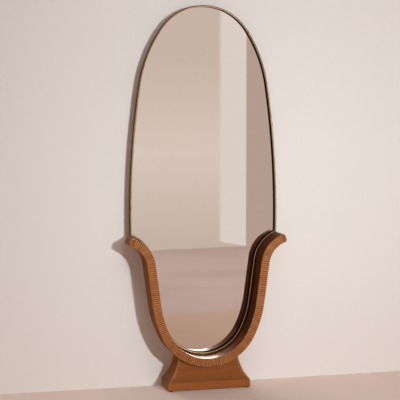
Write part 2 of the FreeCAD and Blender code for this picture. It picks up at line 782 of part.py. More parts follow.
key_loop = closed(
    [arc(side_centre, key_top(key_outer), corner(key_outer))],
    [arc(curl_centre, corner(key_outer), key_end(key_outer))],
    [arc(curl_centre, key_end(key_inner), corner(key_inner))],
    [arc(side_centre, corner(key_inner), key_top(key_inner))],
)
key_seats = {
    arch_rail: side_station(corner(0).y + leg_share * d.key_length),
    tulip_rail: curl_station(corner_angle + leg_share * key_turn),
}
key_screw_points = []
key_front = flange_front - d.key_thickness
for name, flip in (("corner_key_left", -1), ("corner_key_right", 1)):
    key = new_body(name)
    loop = key_loop if flip == 1 else mirrored(key_loop)
    add_pad(key, "XZ_Plane", [loop], key_front, "Dims.key_thickness")
    for rail, spot in key_seats.items():
        placed = seat(spot if flip == 1 else flipped(spot))
        hole = placed.multVec(Vector(flange_middle, cradle_back, 0))
        drill(rail, hole, to_front, screw_hole, "Dims.flange_thickness")
        hole_end = placed.multVec(Vector(flange_middle, flange_front, 0))
        drill(key, hole_end, to_front, screw_hole, "Dims.key_thickness")
        key_screw_points.append(hole)
key_screw = screw(
    "key_screw", "Dims.screw_radius", "Dims.flange_thickness + Dims.key_thickness"
)
key_screw_places = [Placement(point, head_to_wall) for point in key_screw_points]
new_shape("corner_screws", copies(key_screw, key_screw_places))

# Straps from the cradle's back to the frame's back flange
flank_middle = (d.bow_angle + d.arm_lean) / 2
straight_spot, straight_inward = flank_station(d.arm_lean)
upper_spot = (straight_spot + straight_run / 2, straight_inward)
lower_spot = flank_station(flank_middle)
strap_seats = {
    "strap_left_upper": (flipped(upper_spot), arms[-1]),
    "strap_right_upper": (upper_spot, arms[1]),
    "strap_left_lower": (flipped(lower_spot), arms[-1]),
    "strap_right_lower": (lower_spot, arms[1]),
    "strap_bow": (bow_station(0), bow),
}
wood_hole = "Dims.wood_screw_radius + Dims.thread_clearance"
wood_screw_xs = (
    -d.shadow_gap - d.strap_screw_margin,
    -d.shadow_gap - d.strap_reach + d.strap_screw_margin,
)
strap_back = cradle_back + d.strap_thickness
strap_loop = rectangle(
    -d.shadow_gap - d.strap_reach, -d.strap_width / 2, d.flange_width, d.strap_width / 2
)
wood_screw_points = []
strap_screw_points = []
nut_seats = []
for name, (spot, wood) in strap_seats.items():
    strap = new_body(name)
    add_pad(strap, "XZ_Plane", [strap_loop], cradle_back, "Dims.strap_thickness")
    placed = seat(spot)
    for x in wood_screw_xs:
        drill(strap, Vector(x, strap_back, 0), to_front, screw_hole, "Dims.strap_thickness")
        drill(
            wood,
            placed.multVec(Vector(x, cradle_back, 0)),
            to_front,
            wood_hole,
            "Dims.wood_screw_length",
        )
        wood_screw_points.append(placed.multVec(Vector(x, strap_back, 0)))
    drill(
        strap, Vector(flange_middle, strap_back, 0), to_front, screw_hole, "Dims.strap_thickness"
    )
    hole = placed.multVec(Vector(flange_middle, cradle_back, 0))
    drill(tulip_rail, hole, to_front, screw_hole, "Dims.flange_thickness")
    strap_screw_points.append(placed.multVec(Vector(flange_middle, strap_back, 0)))
    nut_seats.append(placed)
    strap.Placement = placed
doc.recompute()
wood_screw = screw("wood_screw", "Dims.wood_screw_radius", "Dims.wood_screw_length")
strap_screw = screw(
    "strap_screw",
    "Dims.screw_radius",
    "Dims.strap_thickness + Dims.flange_thickness + Dims.nut_thickness",
)
wood_screw_places = [Placement(point, head_to_wall) for point in wood_screw_points]
strap_screw_places = [Placement(point, head_to_wall) for point in strap_screw_points]
new_shape("strap_wood_screws", copies(wood_screw, wood_screw_places))
new_shape("strap_machine_screws", copies(strap_screw, strap_screw_places))

# Wall hangers: a screwed plate with a rolled eye, and a ring that swings in the eye
hanger_share = 0.525
side_top = arch_run(0)[0][-1].y
hanger_height = d.widest_height + hanger_share * (side_top - d.widest_height)
hanger_edge, _ = side_station(hanger_height)
hanger_x = hanger_edge.x - flange_middle
plate_top = hanger_height + d.hanger_length / 2
eye_z = hanger_height - d.hanger_length / 2
eye_y = cradle_back + d.barrel_radius
plate_back = cradle_back + d.hanger_thickness
screw_heights = (
    plate_top - d.hanger_screw_margin,
    plate_top - d.hanger_screw_margin - d.hanger_screw_spacing,
)
hanger_screw_points = []
to_right = Vector(1, 0, 0)
for side, flip in (("left", -1), ("right", 1)):
    plate = new_body(f"hanger_plate_{side}")
    middle_x = flip * hanger_x
    plate_loop = rectangle(
        middle_x - d.hanger_width / 2, eye_z, middle_x + d.hanger_width / 2, plate_top
    )
    add_pad(plate, "XZ_Plane", [plate_loop], cradle_back, "Dims.hanger_thickness")
    eye_start = Vector(middle_x - d.barrel_length / 2, eye_y, eye_z)
    add_round_bar(plate, eye_start, to_right, "Dims.barrel_radius", "Dims.barrel_length")
    eye_hole = "Dims.ring_wire_radius + Dims.hinge_clearance"
    drill(plate, eye_start, to_right, eye_hole, "Dims.barrel_length")
    for height in screw_heights:
        back = Vector(middle_x, plate_back, height)
        drill(plate, back, to_front, screw_hole, "Dims.hanger_thickness")
        face = Vector(middle_x, cradle_back, height)
        drill(arch_rail, face, to_front, screw_hole, "Dims.flange_thickness")
        hanger_screw_points.append(back)
        nut_seats.append(at(middle_x - flange_middle, 0, height))

    eye_middle = Vector(middle_x, eye_y, eye_z)
    loop_wire = Part.makeTorus(d.ring_radius, d.ring_wire_radius, eye_middle, Vector(0, 1, 0))
    reach = d.ring_radius + 2 * d.ring_wire_radius
    upper_half = Part.makeBox(2 * reach, 2 * reach, reach, eye_middle - Vector(reach, reach, 0))
    ring = loop_wire.cut(upper_half)
    bar_start = eye_middle - to_right * d.ring_radius
    bar = Part.makeCylinder(d.ring_wire_radius, 2 * d.ring_radius, bar_start, to_right)
    bends = [
        Part.makeSphere(d.ring_wire_radius, eye_middle + to_right * (end * d.ring_radius))
        for end in (-1, 1)
    ]
    new_shape(f"hanger_ring_{side}", ring.fuse([bar, *bends]).Solids[0])
hanger_screw = screw(
    "hanger_screw",
    "Dims.screw_radius",
    "Dims.hanger_thickness + Dims.flange_thickness + Dims.nut_thickness",
)
hanger_screw_places = [Placement(point, head_to_wall) for point in hanger_screw_points]
new_shape("hanger_screws", copies(hanger_screw, hanger_screw_places))

# Square nuts inside the channel, behind the back flange's screws
half_nut = d.nut_width / 2
nut_front = flange_front - d.nut_thickness
nut_bar = slab_of(
    rectangle(flange_middle - half_nut, -half_nut, flange_middle + half_nut, half_nut),
    nut_front,
    d.nut_thickness,
)
nut_axis = Vector(flange_middle, nut_front, 0)
nut_bore = Part.makeCylinder(
    d.screw_radius + d.thread_clearance, d.nut_thickness, nut_axis, Vector(0, 1, 0)
)
nut = nut_bar.cut(nut_bore)
nuts = [nut.transformed(place.toMatrix(), True).Solids[0] for place in nut_seats]
new_shape("channel_nuts", Part.makeCompound(nuts))

# Spring clips that press the board forward from the back flange
side_bottom = corner(0).y
clip_side_shares = (0.2, 0.4, 0.8)
clip_crown_angles = (-35, 0, 35)
clip_bow_angles = (-30, 30)
clip_heights = [side_bottom + share * (side_top - side_bottom) for share in clip_side_shares]
clip_spots = [side_station(height) for height in clip_heights]
clip_spots += [flipped(side_station(height)) for height in clip_heights]
clip_spots += [crown_station(angle) for angle in clip_crown_angles]
clip_spots += [bow_station(angle) for angle in clip_bow_angles]
clip_front = board_back + d.fit
clip_bulge = d.service_gap - 2 * d.fit - d.clip_thickness
clip_start = Vector(d.wall_thickness + d.clip_width / 2, clip_front, 0)
clip_end = Vector(0, 0, d.clip_length / 2)
bulge = Vector(0, clip_bulge, 0)
thick = Vector(0, d.clip_thickness, 0)
clip_front_arc = Part.Arc(clip_start - clip_end, clip_start + bulge, clip_start + clip_end)
clip_back_arc = Part.Arc(
    clip_start - clip_end + thick, clip_start + bulge + thick, clip_start + clip_end + thick
)
clip_ends = [
    Part.LineSegment(clip_start + end, clip_start + end + thick) for end in (-clip_end, clip_end)
]
clip_edges = [clip_front_arc, clip_ends[1], clip_back_arc, clip_ends[0]]
clip_wire = Part.Wire(Part.__sortEdges__([edge.toShape() for edge in clip_edges]))
clip = Part.Face(clip_wire).extrude(to_right * d.clip_width)
clips = [clip.transformed(seat(spot).toMatrix(), True).Solids[0] for spot in clip_spots]
new_shape("spring_clips", Part.makeCompound(clips))

# Rubber seats between the tulip rail and the cradle
seat_depth = frame_depth - 2 * d.lip_width


def rubber_seat(centre, radius, angle):
    """A curved pad in the shadow gap, centred at an angle of an arc of the cradle."""
    half_turn = math.degrees(d.seat_length / 2 / radius)
    first, last = angle - half_turn, angle + half_turn
    near = radius - d.shadow_gap + d.fit
    far = radius - d.fit
    loop = closed(
        [arc(centre, polar(centre, far, first), polar(centre, far, last))],
        [arc(centre, polar(centre, near, last), polar(centre, near, first))],
    )
    return loop


seat_bow_angle = 24
right_seats = [
    rubber_seat(bow_centre, bow_radius, seat_bow_angle),
    rubber_seat(flank_centre, d.flank_radius, flank_middle),
]
seat_loops = right_seats + [mirrored(loop) for loop in right_seats]
seats = [slab_of(loop, lip_front + d.lip_width, seat_depth) for loop in seat_loops]
new_shape("frame_seats", Part.makeCompound(seats))

# Every object must have come out whole before anything is written
doc.recompute()
for item in doc.Objects:
    if "Invalid" in item.State or "Error" in item.State:
        faults.append(f"{item.Name} failed: {item.State}")
for part in parts:
    if part.Shape.isNull() or not part.Shape.isValid() or not part.Shape.Solids:
        faults.append(f"{part.Label} has no valid solid")
if faults:
    raise RuntimeError("; ".join(faults))

os.makedirs("parts", exist_ok=True)
for part in parts:
    part.Shape.exportStep(f"parts/{part.Label}.step")
    box = part.Shape.BoundBox
    print(
        f"{part.Label}: {len(part.Shape.Solids)} solids, {part.Shape.Volume / 1000:.1f} cm3,"
        f" Z {box.ZMin:.1f} to {box.ZMax:.1f}"
    )
print(f"{len(parts)} nodes")
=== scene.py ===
"""Looks of the dressing mirror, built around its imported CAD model.

A tall arch-topped mirror in a slim aged-brass channel, held in a reeded wooden lyre that stands on
a waisted foot. Metres, +X to the right, +Y to the wall behind, +Z up, the origin on the floor.
"""

import logging
import math
from collections.abc import Sequence
from dataclasses import dataclass, field
from enum import Enum

import bpy
import numpy as np
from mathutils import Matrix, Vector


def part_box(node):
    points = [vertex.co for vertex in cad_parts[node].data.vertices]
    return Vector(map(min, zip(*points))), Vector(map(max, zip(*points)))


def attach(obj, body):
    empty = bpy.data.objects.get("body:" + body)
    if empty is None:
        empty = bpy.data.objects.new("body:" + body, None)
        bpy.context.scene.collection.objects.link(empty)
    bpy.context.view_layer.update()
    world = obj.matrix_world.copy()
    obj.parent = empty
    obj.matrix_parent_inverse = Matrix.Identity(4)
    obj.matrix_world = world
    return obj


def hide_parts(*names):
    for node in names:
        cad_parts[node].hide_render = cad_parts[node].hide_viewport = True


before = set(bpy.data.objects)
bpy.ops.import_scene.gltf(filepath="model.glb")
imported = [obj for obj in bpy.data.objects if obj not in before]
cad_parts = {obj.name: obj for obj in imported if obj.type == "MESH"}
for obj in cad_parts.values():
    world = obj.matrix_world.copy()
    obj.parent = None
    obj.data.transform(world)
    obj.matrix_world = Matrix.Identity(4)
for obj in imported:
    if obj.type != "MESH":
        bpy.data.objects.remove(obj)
log = logging.getLogger("dressing_mirror")

Array = np.ndarray
Material = bpy.types.Material
Colour = tuple[float, ...]
Place = tuple[float, float, float]
Range = tuple[float, float]
Socket = bpy.types.NodeSocket
Value = Socket | float | Colour

MM = 0.001
QUARTER_TURN = math.pi / 2


class Slot(Enum):
    """The record's material slots that the new pieces take their finish from."""

    WOOD = "stained_wood"
    BRASS = "antique_brass"
    ZINC = "zinc_steel"
    FITTING = "brass_fitting"


class Body(Enum):
    """The CAD bodies that the pieces ride on."""

    STAND = "stand"
    RING_LEFT = "ring_left"
    RING_RIGHT = "ring_right"


class Mask(Enum):
    """What a piece tells its finish point by point, each 0 to 1."""

    # Rubbed edges, and on the reeded facing also a painted highlight on the reed crests.
    WEAR_AND_HIGHLIGHT = "wear"
    # A darker tone: real stain and patina, and painted shade in the grooves, on the cradle's inner
    # faces, over the plinth and on the frame's outer side.
    STAIN_AND_SHADE = "recess"
    POLISH = "polish"


class Drive(Enum):
    """The recess that a screwdriver or key turns."""

    CROSS = "cross"
    SOCKET = "socket"


class Facing(Enum):
    """Where a screw's head looks, as the matrix that turns its own axes there."""

    WALL = ((1, 0, 0), (0, 0, 1), (0, -1, 0))
    FLOOR = ((1, 0, 0), (0, -1, 0), (0, 0, -1))


class Coordinates(Enum):
    """Where a finish reads its pattern: along a swept piece, or fixed in the object's frame."""

    RUN = "run"
    OBJECT = "object"


Masks = dict[Mask, Array]


def linear(red: float, green: float, blue: float) -> Colour:
    """Turns a colour written as 0 to 255 into Blender's linear colour.

    A share up to 0.04045 is divided by 12.92. A larger one has 0.055 added, is divided by 1.055
    and raised to 2.4.

    Args:
        red: Red share, 0 to 255, as a screen shows it.
        green: Green share.
        blue: Blue share.

    Returns:
        Linear red, green and blue with an alpha of 1.
    """
    screen = np.array([red, green, blue]) / 255
    dark = screen / 12.92
    light = ((screen + 0.055) / 1.055) ** 2.4
    return (*np.where(screen <= 0.04045, dark, light).tolist(), 1.0)


def heading(angle: Array | float) -> Array:
    """The direction (sine, minus cosine) of an angle counted from straight down towards +X."""
    return np.stack([np.sin(angle), -np.cos(angle)], axis=-1)


def polar(centre: Array, radius: Array | float, angle: Array | float) -> Array:
    """Points as x and z at a radius from a centre. A negative radius lies on the other side."""
    return centre + np.asarray(radius)[..., None] * heading(angle)


def round_angles(count: int) -> Array:
    """Angles evenly round a full turn, without the last one, which is the first again."""
    return np.linspace(0, 2 * np.pi, count + 1)[:-1]


def points_for(length: float, step: float) -> int:
    """How many points a run needs, so that none lie further apart than the step."""
    return 2 + int(length / step)


def arc_grid(
    centre: Array,
    radius: Array,
    first: Array | float,
    last: Array | float,
    count: int,
) -> Array:
    """Concentric arcs, one column for each radius.

    Args:
        centre: The arcs' shared centre as x and z.
        radius: One signed radius for each column.
        first: The first angle, one for all columns or one for each.
        last: The last angle, in the same way.
        count: Points along each arc.

    Returns:
        Points of shape count, columns, 2.
    """
    share = np.linspace(0, 1, count)[:, None]
    angle = first + (np.asarray(last) - first) * share
    return polar(centre, radius, np.broadcast_to(angle, (count, len(radius))))


def join_runs(runs: Sequence[Array]) -> Array:
    """One run from several, without the repeated points where they meet."""
    return np.concatenate([runs[0], *(run[1:] for run in runs[1:])])


def mirrored(run: Array) -> Array:
    """The run's mirror image in the middle plane, run the other way."""
    return run[::-1] * np.array([-1.0, 1.0])


@dataclass(frozen=True)
class Curves:
    """The arcs in the front view that the frame and the cradle follow. Angles in degrees."""

    overall_height: float = 1900 * MM
    frame_width: float = 754 * MM
    widest_height: float = 860 * MM
    crown_radius: float = 266 * MM
    crown_angle: float = 55.6
    shoulder_angle: float = 81.4
    cradle_floor: float = 155 * MM
    bow_angle: float = 62.9
    flank_radius: float = 482 * MM
    arm_lean: float = 82.5
    arm_straight: float = 200 * MM
    curl_radius: float = 168 * MM
    tip_angle: float = 15.5
    tip_reach: float = 59.4 * MM
    shadow_gap: float = 4 * MM

    @property
    def lean(self) -> float:
        """The straight run's steepness in radians."""
        return math.radians(self.arm_lean)

    @property
    def bow_end(self) -> float:
        """The bow's half angle in radians."""
        return math.radians(self.bow_angle)

    @property
    def straight(self) -> Array:
        """The arm's straight run as x and z."""
        return self.arm_straight * np.array([math.cos(self.lean), math.sin(self.lean)])

    @property
    def bow_radius(self) -> float:
        """The bow's inner radius, which brings the curls to their place beside the frame.

        It is the flank's radius plus what the flank, the straight run and the curl leave of the
        reach from the middle to a tip, divided by the sine of the bow's half angle.

        Returns:
            The radius.
        """
        reach = self.frame_width / 2 + self.tip_reach - self.straight[0]
        reach -= (self.flank_radius + self.curl_radius) * math.sin(self.lean)
        return self.flank_radius + reach / math.sin(self.bow_end)

    @property
    def bow_centre(self) -> Array:
        """Centre of the bow."""
        return np.array([0.0, self.cradle_floor + self.bow_radius])

    @property
    def flank_centre(self) -> Array:
        """Centre of the arm's lower bend."""
        return polar(self.bow_centre, self.bow_radius - self.flank_radius, self.bow_end)

    @property
    def curl_centre(self) -> Array:
        """Centre of the arm's outward curl."""
        bend = polar(self.flank_centre, self.flank_radius + self.curl_radius, self.lean)
        return bend + self.straight

    def arch_circles(self) -> tuple[list[Array], list[float]]:
        """Centres and radii of the arch's side, shoulder and crown.

        Two steps in radius, crown to shoulder and shoulder to side, solve two sums: the arcs'
        rise has to reach the crown's centre, and their spread the frame's half width.

        Returns:
            The three centres and the three radii, side first.
        """
        crown, shoulder = math.radians(self.crown_angle), math.radians(self.shoulder_angle)
        rows = [
            [math.cos(crown), math.cos(shoulder)],
            [1 - math.sin(crown), 1 - math.sin(shoulder)],
        ]
        rise = self.overall_height - self.crown_radius - self.widest_height
        spread = self.frame_width / 2 - self.crown_radius
        first, second = np.linalg.solve(rows, [rise, spread])
        crown_centre = np.array([0.0, self.overall_height - self.crown_radius])
        shoulder_centre = polar(crown_centre, first, -crown)
        side_centre = polar(shoulder_centre, second, -shoulder)
        radii = [self.crown_radius + first + second, self.crown_radius + first, self.crown_radius]
        return [side_centre, shoulder_centre, crown_centre], radii

    def corner(self, inset: Array) -> Array:
        """The frame's lower right corner, where its side meets the curl, at each inset.

        It is the upper crossing of two circles: along their centre line to the chord, then
        square to it by half the chord.

        Args:
            inset: Distances inside the frame's outer edge.

        Returns:
            One point for each inset.
        """
        centres, radii = self.arch_circles()
        side_radius = radii[0] - inset
        curl_radius = self.curl_radius + self.shadow_gap + inset
        across = self.curl_centre - centres[0]
        span = np.hypot(*across)
        along = (span**2 + side_radius**2 - curl_radius**2) / (2 * span)
        rise = np.sqrt(side_radius**2 - along**2)
        square = np.array([-across[1], across[0]]) / span
        return centres[0] + along[:, None] * across / span + rise[:, None] * square

    def arch(self, inset: Array, step: float) -> Array:
        """The arch from the right corner over the crown to the left corner.

        Args:
            inset: Distances inside the outer edge, one column for each.
            step: Spacing of the points.

        Returns:
            Points of shape count, columns, 2.
        """
        centres, radii = self.arch_circles()
        corner = self.corner(inset) - centres[0]
        start = np.arctan2(corner[:, 0], -corner[:, 1])
        joints = [math.pi - math.radians(a) for a in (self.shoulder_angle, self.crown_angle)]
        ends = [start, *joints, math.pi]
        runs = []
        for centre, radius, first, last in zip(centres, radii, ends, ends[1:]):
            count = points_for(radius * abs(last - np.mean(first)), step)
            runs.append(arc_grid(centre, radius - inset, first, last, count))
        half = join_runs(runs)
        return join_runs([half, mirrored(half)])

    def bow(self, out: Array, count: int) -> Array:
        """The bow from left to right, at distances outside the cradle's inner face."""
        return arc_grid(self.bow_centre, self.bow_radius + out, -self.bow_end, self.bow_end, count)

    def flank(self, out: Array, count: int) -> Array:
        """The arm's lower bend, upwards from the bow."""
        return arc_grid(self.flank_centre, self.flank_radius + out, self.bow_end, self.lean, count)

    def straight_run(self, out: Array, count: int) -> Array:
        """The arm's straight run, upwards."""
        start = polar(self.flank_centre, self.flank_radius + out, self.lean)
        return start + np.linspace(0, 1, count)[:, None, None] * self.straight

    def curl(self, out: Array, first: float, last: Array | float, count: int) -> Array:
        """The arm's outward curl between two steepnesses in radians."""
        return arc_grid(self.curl_centre, out - self.curl_radius, first, last, count)

    def tulip(self, inset: Array, step: float) -> Array:
        """The frame's lower edge from the left corner round the bow to the right corner.

        Args:
            inset: Distances inside the outer edge, one column for each.
            step: Spacing of the points.

        Returns:
            Points of shape count, columns, 2.
        """
        out = -self.shadow_gap - inset
        corner = self.corner(inset) - self.curl_centre
        last = np.arctan2(-corner[:, 0], corner[:, 1])
        arm = join_runs([
            self.flank(out, points_for(self.flank_radius * (self.lean - self.bow_end), step)),
            self.straight_run(out, points_for(self.arm_straight, step)),
            self.curl(out, self.lean, last, points_for(self.curl_radius * self.lean, step)),
        ])
        bow = self.bow(out, points_for(2 * self.bow_radius * self.bow_end, step))
        return join_runs([mirrored(arm), bow, arm])


@dataclass
class Surface:
    """A grid of points that becomes quads, and whose columns go round.

    Attributes:
        points: Shape rows, columns, 3, with the first column repeated as the last.
        masks: Each mask's value at each point, without the repeated column.
        caps: True where the first and last rows are flat ends to be filled.
    """

    points: Array
    masks: Masks
    caps: bool


def map_of(points: Array) -> Array:
    """Map coordinates of a grid in metres: distance along its rows, and around its columns.

    Args:
        points: The grid, shape rows, columns, 3.

    Returns:
        Coordinates of shape rows, columns, 2.
    """
    steps = np.linalg.norm(np.diff(points, axis=0), axis=2).mean(axis=1)
    turns = np.linalg.norm(np.diff(points, axis=1), axis=2).max(axis=0)
    along, around = (np.concatenate([[0], np.cumsum(sizes)]) for sizes in (steps, turns))
    return np.stack(np.broadcast_arrays(along[:, None], around), axis=-1)


def wrap(grid: Array, masks: Masks | None = None, caps: bool = False) -> Surface:
    """A surface whose columns go round, from a grid that doesn't repeat its first column.

    Args:
        grid: Points of shape rows, columns, 3.
        masks: The masks that aren't nought everywhere.
        caps: Whether its ends are filled. They needn't be where its end rows close by themselves.

    Returns:
        The surface with its first column repeated at the end.
    """
    points = np.concatenate([grid, grid[:, :1]], axis=1)
    full = {mask: np.broadcast_to((masks or {}).get(mask, 0.0), grid.shape[:2]) for mask in Mask}
    return Surface(points, full, caps)


@dataclass(frozen=True)
class Skin:
    """A grid whose first row is an open end, with its wear and painted highlight and its recess of
    stain and painted shade at each point.
    """

    points: Array
    wear: Array
    recess: Array

    def flipped(self, flip: float) -> "Skin":
        """The same skin, on the other side of the middle plane where flip is -1."""
        return Skin(self.points * np.array([flip, 1.0, 1.0]), self.wear, self.recess)

    def surface(self) -> Surface:
        """The closed surface that it becomes when its open end is drawn in to its middle.

        Returns:
            The surface.
        """
        middle = np.broadcast_to(self.points[0].mean(axis=0), self.points[:1].shape)
        masks = {Mask.WEAR_AND_HIGHLIGHT: self.wear, Mask.STAIN_AND_SHADE: self.recess}
        full = {mask: np.concatenate([0 * values[:1], values]) for mask, values in masks.items()}
        return wrap(np.concatenate([middle, self.points]), full)


def quad_corners(values: Array) -> Array:
    """A grid's values at the four corners of each of its quads."""
    corners = [values[:-1, :-1], values[1:, :-1], values[1:, 1:], values[:-1, 1:]]
    return np.stack(corners, axis=2).reshape(-1, 4, *values.shape[2:])


def make_mesh(name: str, surfaces: Sequence[Surface], sharp_angle: float = 38.0) -> bpy.types.Mesh:
    """One mesh from grids, with its faces outward.

    A grid's signed volume, the sum of its triangles' volumes against the origin, says which way
    round its faces go.

    Args:
        name: The mesh's name.
        surfaces: The grids.
        sharp_angle: The angle in degrees from which an edge stays sharp.

    Returns:
        The mesh, with its map and its masks.
    """
    corners, faces, spots, masks = [], [], [], {mask: [] for mask in Mask}
    first = 0
    for surface in surfaces:
        rows, columns = surface.points.shape[:2]
        used = columns - 1
        index = np.arange(rows)[:, None] * used + np.arange(columns) % used
        flat = surface.points[:, :used].reshape(-1, 3)
        quads, quad_run = quad_corners(index), quad_corners(map_of(surface.points))
        a, b, c, d = (flat[quads[:, corner]] for corner in range(4))
        inside_out = np.sum(a * np.cross(b, c)) + np.sum(a * np.cross(c, d)) < 0
        if inside_out:
            quads, quad_run = quads[:, ::-1], quad_run[:, ::-1]
        faces.extend((first + quads).tolist())
        spots.append(quad_run.reshape(-1, 2))
        if surface.caps:
            low, high = index[0, :used], index[-1, :used]
            for ring in (low[::-1], high) if inside_out else (low, high[::-1]):
                faces.append((first + ring).tolist())
                spots.append(flat[ring][:, [2, 1]])
        corners.append(flat)
        for mask, values in masks.items():
            values.append(surface.masks[mask].ravel())
        first += len(flat)
    mesh = bpy.data.meshes.new(name)
    mesh.from_pydata(np.concatenate(corners).tolist(), [], faces)
    mesh.uv_layers.new(name="run").data.foreach_set("uv", np.concatenate(spots).ravel())
    for mask, values in masks.items():
        layer = mesh.attributes.new(mask.value, "FLOAT", "POINT")
        layer.data.foreach_set("value", np.concatenate(values))
    mesh.shade_smooth()
    mesh.set_sharp_from_angle(angle=math.radians(sharp_angle))
    return mesh


def show(name: str, data: bpy.types.ID) -> bpy.types.Object:
    """Links a new object to the scene, at the origin.

    Args:
        name: The object's name.
        data: The mesh, light or camera that it holds.

    Returns:
        The object.
    """
    thing = bpy.data.objects.new(name, data)
    bpy.context.scene.collection.objects.link(thing)
    return thing


def add_piece(
    node: str,
    ending: str,
    surfaces: Sequence[Surface],
    material: Material,
    body: Body = Body.STAND,
) -> None:
    """Adds the piece that stands for a CAD node, and lets it ride on its body.

    Args:
        node: The CAD node.
        ending: What the piece's name adds to the node's.
        surfaces: Its grids.
        material: Its finish.
        body: The body that it rides on.
    """
    name = f"{node}_{ending}"
    mesh = make_mesh(name, surfaces)
    mesh.materials.append(material)
    piece = show(name, mesh)
    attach(piece, body.value)
    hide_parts(node)
    log.info("%s: %d faces, stands for %s", name, len(mesh.polygons), node)


def rounded(
    corners: Sequence[Range], radii: Sequence[float], steps: int = 6
) -> tuple[Array, Array]:
    """A polygon with rounded corners.

    Each corner becomes a curve between two points, a radius away along its two edges: the
    corner plus (1 - t) squared times the way back and t squared times the way on.

    Args:
        corners: The polygon's corners in order.
        radii: The rounding of each. A corner with none stays one point.
        steps: Points on each rounding.

    Returns:
        The outline's points, and how far into a rounding each lies, 0 to 1.
    """
    points, reach = np.array(corners), np.array(radii)[:, None]
    ways = [np.roll(points, shift, axis=0) - points for shift in (1, -1)]
    back, on = ((way / np.linalg.norm(way, axis=1)[:, None] * reach)[:, None] for way in ways)
    t = np.linspace(0, 1, steps)[:, None]
    outline = points[:, None] + back * (1 - t) ** 2 + on * t**2
    wear = np.broadcast_to(4 * t[:, 0] * (1 - t[:, 0]), outline.shape[:2])
    kept = (reach > 0) | (np.arange(steps) == 0)
    return outline[kept], wear[kept]


def lift(run: Array, depth: Array) -> Array:
    """Front view points with their depths along Y, as points in space."""
    y = np.broadcast_to(depth, run.shape[:2])
    return np.stack([run[..., 0], y, run[..., 1]], axis=-1)


class Nodes:
    """Adds nodes to a shader tree and joins them."""

    def __init__(self, tree: bpy.types.NodeTree) -> None:
        """Keeps the tree that the nodes go to."""
        self.tree = tree

    def feed(self, node: bpy.types.Node, inputs: dict[str | int, Value]) -> bpy.types.Node:
        """Fills a node's sockets.

        Args:
            node: The node.
            inputs: Its sockets by name or number, each given a value or another node's output.

        Returns:
            The node.
        """
        for key, value in inputs.items():
            if isinstance(value, Socket):
                self.tree.links.new(value, node.inputs[key])
            else:
                node.inputs[key].default_value = value
        return node

    def add(
        self, kind: str, inputs: dict[str | int, Value] | None = None, **settings: object
    ) -> bpy.types.Node:
        """Adds one node.

        Args:
            kind: The node's type without its Shader prefix.
            inputs: Its sockets, as feed takes them.
            settings: The node's own settings.

        Returns:
            The node.
        """
        node = self.tree.nodes.new(f"ShaderNode{kind}")
        for key, value in settings.items():
            setattr(node, key, value)
        return self.feed(node, inputs or {})

    def give(self, outputs: dict[str, Value]) -> None:
        """Links what a group puts out."""
        self.feed(self.tree.nodes.new("NodeGroupOutput"), outputs)

    def mask(self, mask: Mask) -> Socket:
        """A piece's own mask."""
        return self.add("Attribute", attribute_name=mask.value).outputs["Fac"]

    def axes(self, vector: Socket) -> Sequence[Socket]:
        """A vector's x, y and z."""
        return self.add("SeparateXYZ", {0: vector}).outputs

    def math(self, operation: str, first: Value, second: Value = 0.0, third: Value = 0.0) -> Socket:
        """A Math node's output."""
        return self.add("Math", {0: first, 1: second, 2: third}, operation=operation).outputs[0]

    def times(self, first: Value, second: Value) -> Socket:
        """Two values multiplied."""
        return self.math("MULTIPLY", first, second)

    def weigh(self, value: Value, weight: Value, rest: Value) -> Socket:
        """A value times its weight, plus the rest."""
        return self.math("MULTIPLY_ADD", value, weight, rest)

    def stretch(self, vector: Socket, scale: Place) -> Socket:
        """A vector times a scale on each axis."""
        return self.add("VectorMath", {0: vector, 1: scale}, operation="MULTIPLY").outputs[0]

    def noise(
        self, vector: Socket, scale: float, detail: float = 3.0, distortion: float = 0.0
    ) -> Socket:
        """A noise pattern's value, 0 to 1."""
        inputs = {"Vector": vector, "Scale": scale, "Detail": detail, "Distortion": distortion}
        return self.add("TexNoise", inputs).outputs["Fac"]

    def span(self, value: Value, source: Range, target: tuple[Value, Value] = (0.0, 1.0)) -> Socket:
        """A value mapped from one range to another and held inside it."""
        inputs = dict(enumerate((value, *source, *target)))
        return self.add("MapRange", inputs).outputs[0]

    def band(self, value: Value, edges: tuple[float, float, float, float]) -> Socket:
        """1 inside a band that rises from the first edge to the second and ends at the last."""
        low, full, still_full, high = edges
        return self.times(self.span(value, (low, full)), self.span(value, (high, still_full)))

    def mix(self, share: Value, first: Value, second: Value) -> Socket:
        """Two colours mixed by a share."""
        return self.add("Mix", {0: share, 6: first, 7: second}, data_type="RGBA").outputs[2]


def group(
    name: str, inputs: dict[str, str], outputs: dict[str, str]
) -> tuple[bpy.types.NodeTree, Nodes, Sequence[Socket]]:
    """An empty shader node group with its sockets.

    Args:
        name: The group's name.
        inputs: Socket names and their types, such as Float.
        outputs: The same for what comes out.

    Returns:
        The tree, a Nodes that adds to it, and what the group is given.
    """
    tree = bpy.data.node_groups.new(name, "ShaderNodeTree")
    for names, way in ((inputs, "INPUT"), (outputs, "OUTPUT")):
        for socket, kind in names.items():
            tree.interface.new_socket(socket, in_out=way, socket_type=f"NodeSocket{kind}")
    return tree, Nodes(tree), tree.nodes.new("NodeGroupInput").outputs


def blank_material(name: str) -> tuple[Material, Nodes]:
    """A material with an empty tree.

    Args:
        name: The material's name.

    Returns:
        The material, and a Nodes that adds to it.
    """
    material = bpy.data.materials.new(name)
    material.use_nodes = True
    material.node_tree.nodes.clear()
    return material, Nodes(material.node_tree)


